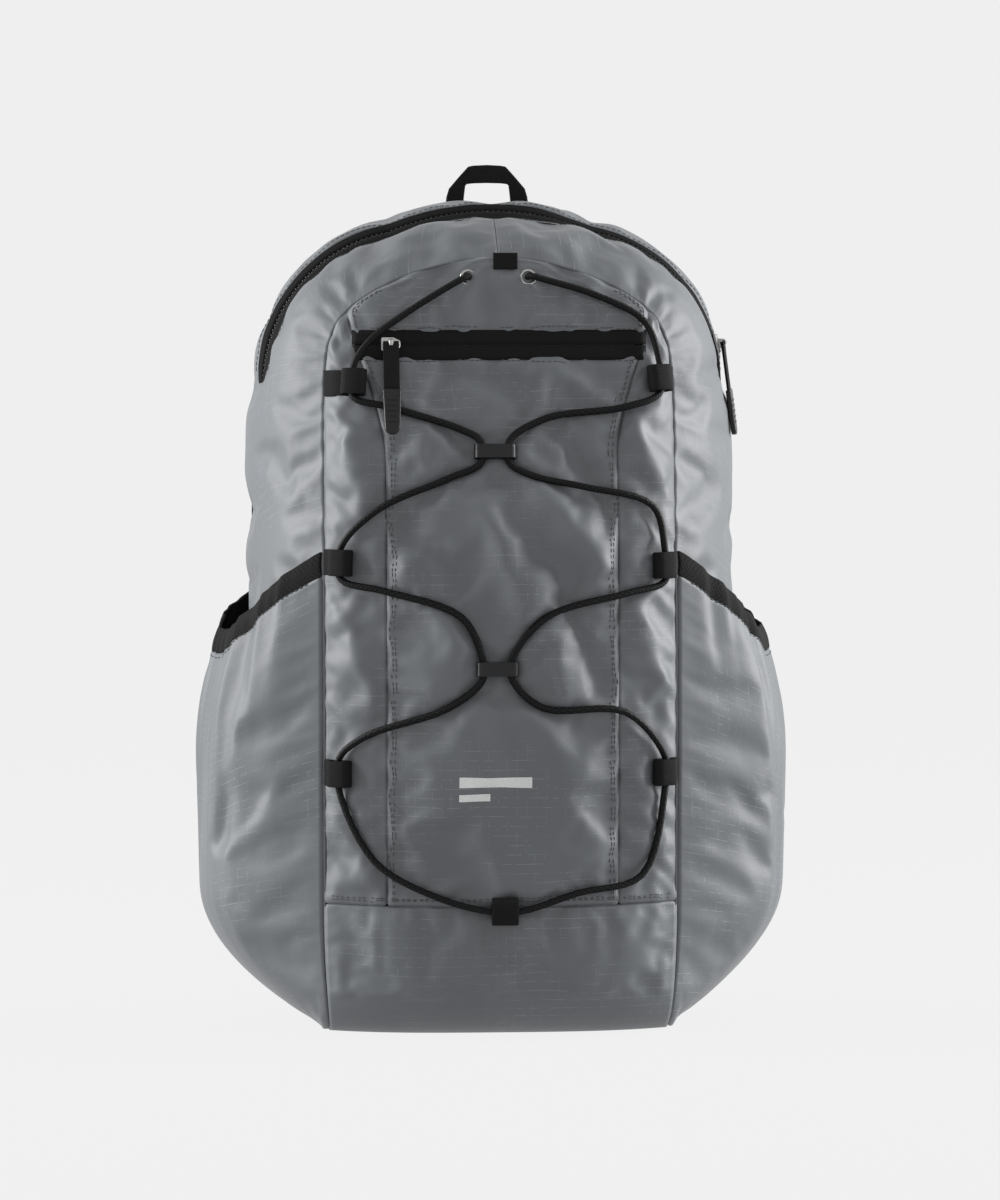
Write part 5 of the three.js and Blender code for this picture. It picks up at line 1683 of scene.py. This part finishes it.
binding = fabric("edge_binding", (0.004, 0.004, 0.0042), (0.014, 0.014, 0.0145), 0.001)
for name, side in [("left", -1), ("right", 1)]:
    strap = f"shoulder_strap_{name}"
    line = Curve([(side * x, STRAP_Y + y, z) for x, y, z in [
        (38, 0, 434), (42, 24.2, 394), (52, 44, 329), (65, 35.2, 259), (76, 15.4, 196)]])
    section = []
    for i in range(28):
        a = 2 * math.pi * i / 28
        c, s = math.cos(a), math.sin(a)
        section.append((math.copysign(abs(c) ** 0.55, c), math.copysign(abs(s) ** 0.8, s)))
    rows = 96
    frames = []
    for i in range(rows + 1):
        t = i / rows
        end = math.sqrt(max(0.02, min(1, t * rows / 2.5, (1 - t) * rows / 2.5)))
        place, across, out = line.frame(t)
        frames.append((place, across * (pad_half(t) - 0.6) * between(0.93, 1, end), out * 4.4 * end))
    pad = swept(f"strap_pad_{name}_mesh", frames, section)
    for vert in pad.data.vertices:
        vert.co += vert.normal * noise.fractal(vert.co * 35 + Vector((side, 0, 0)), 0.8, 2.0, 2) * 0.0007
    fitted(pad, air_mesh, strap, "air_mesh", f"strap_pad_{name}")
    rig.padded(pad, fill=0.8)
    edge_line = []
    for way in (-1, 1):
        run = [line.frame(i / 90) for i in range(91)]
        run = [p + a * way * (pad_half(i / 90) - 0.9) for i, (p, a, _) in enumerate(run)]
        edge_line += run if way < 0 else run[::-1]
    edge_line.append(edge_line[0])
    edge, _ = round_cord(f"strap_binding_{name}", edge_line, 1.6)
    fitted(edge, binding, strap, "webbing")
    facing = [line.frame(between(0.01, 0.985, i / 80)) for i in range(81)]
    facing = [(p + o * 4.9, a, o) for p, a, o in facing]
    fitted(
        swept(f"strap_webbing_{name}_band", facing, flat_profile(20, 1.2)), webbing, strap, "webbing",
        f"strap_webbing_{name}",
    )

    bar = Vector((side * 77, 90.4, 188.5))
    hook = []
    for i in range(33):
        a = math.radians(between(-150, 150, i / 32)) + math.pi / 2
        hook.append((bar + Vector((0, math.cos(a), math.sin(a))) * 2.95, right_hand, Vector((0, math.cos(a), math.sin(a)))))
    fitted(swept(f"lock_loop_{name}_band", hook, flat_profile(20, 1.2)), webbing, strap, "webbing", f"lock_loop_{name}")

    lock = f"ladder_lock_{name}"
    windows = [[(-10.4, a), (-10.4, b), (10.4, b), (10.4, a)] for a, b in [(-9, -1.5), (-16, -12.5), (-24, -19.5)]]
    outline = [(-13.5, 0.2), (-12.4, 1.3), (12.4, 1.3), (13.5, 0.2), (13.5, -25.5), (12, -27), (-12, -27), (-13.5, -25.5)]
    buckle = plate(
        f"{lock}_moulded", outline, windows, 3, (bar - Vector((0, 1.5, 0)), right_hand, Vector((0, 1, 0)), UP),
        bevel=0.6,
    )
    fitted(buckle, moulded, lock, "plastic", lock)
    tail_line = Curve([
        (bar.x, bar.y + 2.6, bar.z - 18), (bar.x, bar.y + 2.9, bar.z - 40), (bar.x, bar.y + 2.4, bar.z - 70),
        (bar.x, bar.y + 2.7, bar.z - 97),
    ])
    tail = [tail_line.frame(i / 40) for i in range(41)]
    fitted(swept(f"strap_tail_{name}_band", tail, flat_profile(20, 1.3)), webbing, lock, "webbing", f"strap_tail_{name}")
    hem_fold = [tail_line.frame(between(0.9, 1, i / 6)) for i in range(7)]
    hem_fold = [(p + o * 1.2, a, o) for p, a, o in hem_fold]
    fitted(swept(f"strap_tail_{name}_fold", hem_fold, flat_profile(20, 1.1)), webbing, lock, "webbing")

    lower_line = Curve([
        (bar.x, 90.4, 159), (side * 88, 87.4, 111.5), (side * 95, 75.4, 66), (side * 97, 72.3, 40),
    ])
    lower = [lower_line.frame(i / 60) for i in range(61)]
    lower_band = swept(f"lower_webbing_{name}_band", lower, flat_profile(20, 1.3))
    lower_band.data.materials.append(webbing.material)
    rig.slot(lower_band, "webbing")
    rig.replaces(lower_band, f"lower_webbing_{name}")
    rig.blend(lower_band, PACK, strap, (side * 95 * MM, 0.0754, 0.066), (bar.x * MM, 0.0904, 0.159))
    patch = [(-15, -17), (15, -17), (15, 11), (9, 17), (-15, 17)] if side > 0 else [(-15, -17), (15, -17), (15, 17), (-9, 17), (-15, 11)]
    anchor = plate(
        f"lower_anchor_{name}_patch", patch, [], 1.8,
        (Vector((side * 96, 70.9, 44)), right_hand, Vector((0, 1, 0)), UP), bevel=0.5,
    )
    for vert in anchor.data.vertices:
        vert.co.y += (back_y(vert.co.x / MM, vert.co.z / MM) - BACK_Y - 5) * MM
    fitted(anchor, binding, PACK, "webbing", f"lower_anchor_{name}")
    root_line = Curve([
        (side * 37.2, 71.2, 449), (side * 37.4, 72.6, 443), (side * 37.8, 75, 437.5), (side * 38.4, 76.4, 431.5),
    ])
    root = [root_line.frame(i / 16) for i in range(17)]
    fitted(swept(f"strap_root_{name}", root, flat_profile(56, 2.4)), binding, PACK, "webbing")

yoke_frames = []
for i in range(41):
    t = i / 40
    x = between(-70, 70, t)
    end = math.sqrt(max(0.02, min(1, t * 40 / 2, (1 - t) * 40 / 2)))
    yoke_frames.append((Vector((x, 71.4, 445.8)), UP * 6.4 * end, Vector((0, 1.9, 0)) * end))
yoke_section = [(math.copysign(abs(math.cos(a)) ** 0.4, math.cos(a)), math.copysign(abs(math.sin(a)) ** 0.6, math.sin(a)))
                for a in (2 * math.pi * i / 24 for i in range(24))]
fitted(swept("strap_yoke_cloth", yoke_frames, yoke_section), grey_ripstop, PACK, "ripstop", "strap_yoke")

size_lines = {"cad": [list(c) for c in cad_box], "visual": [list(c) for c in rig.bounds()]}
with open("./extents.json", "w") as out:
    json.dump(size_lines, out)
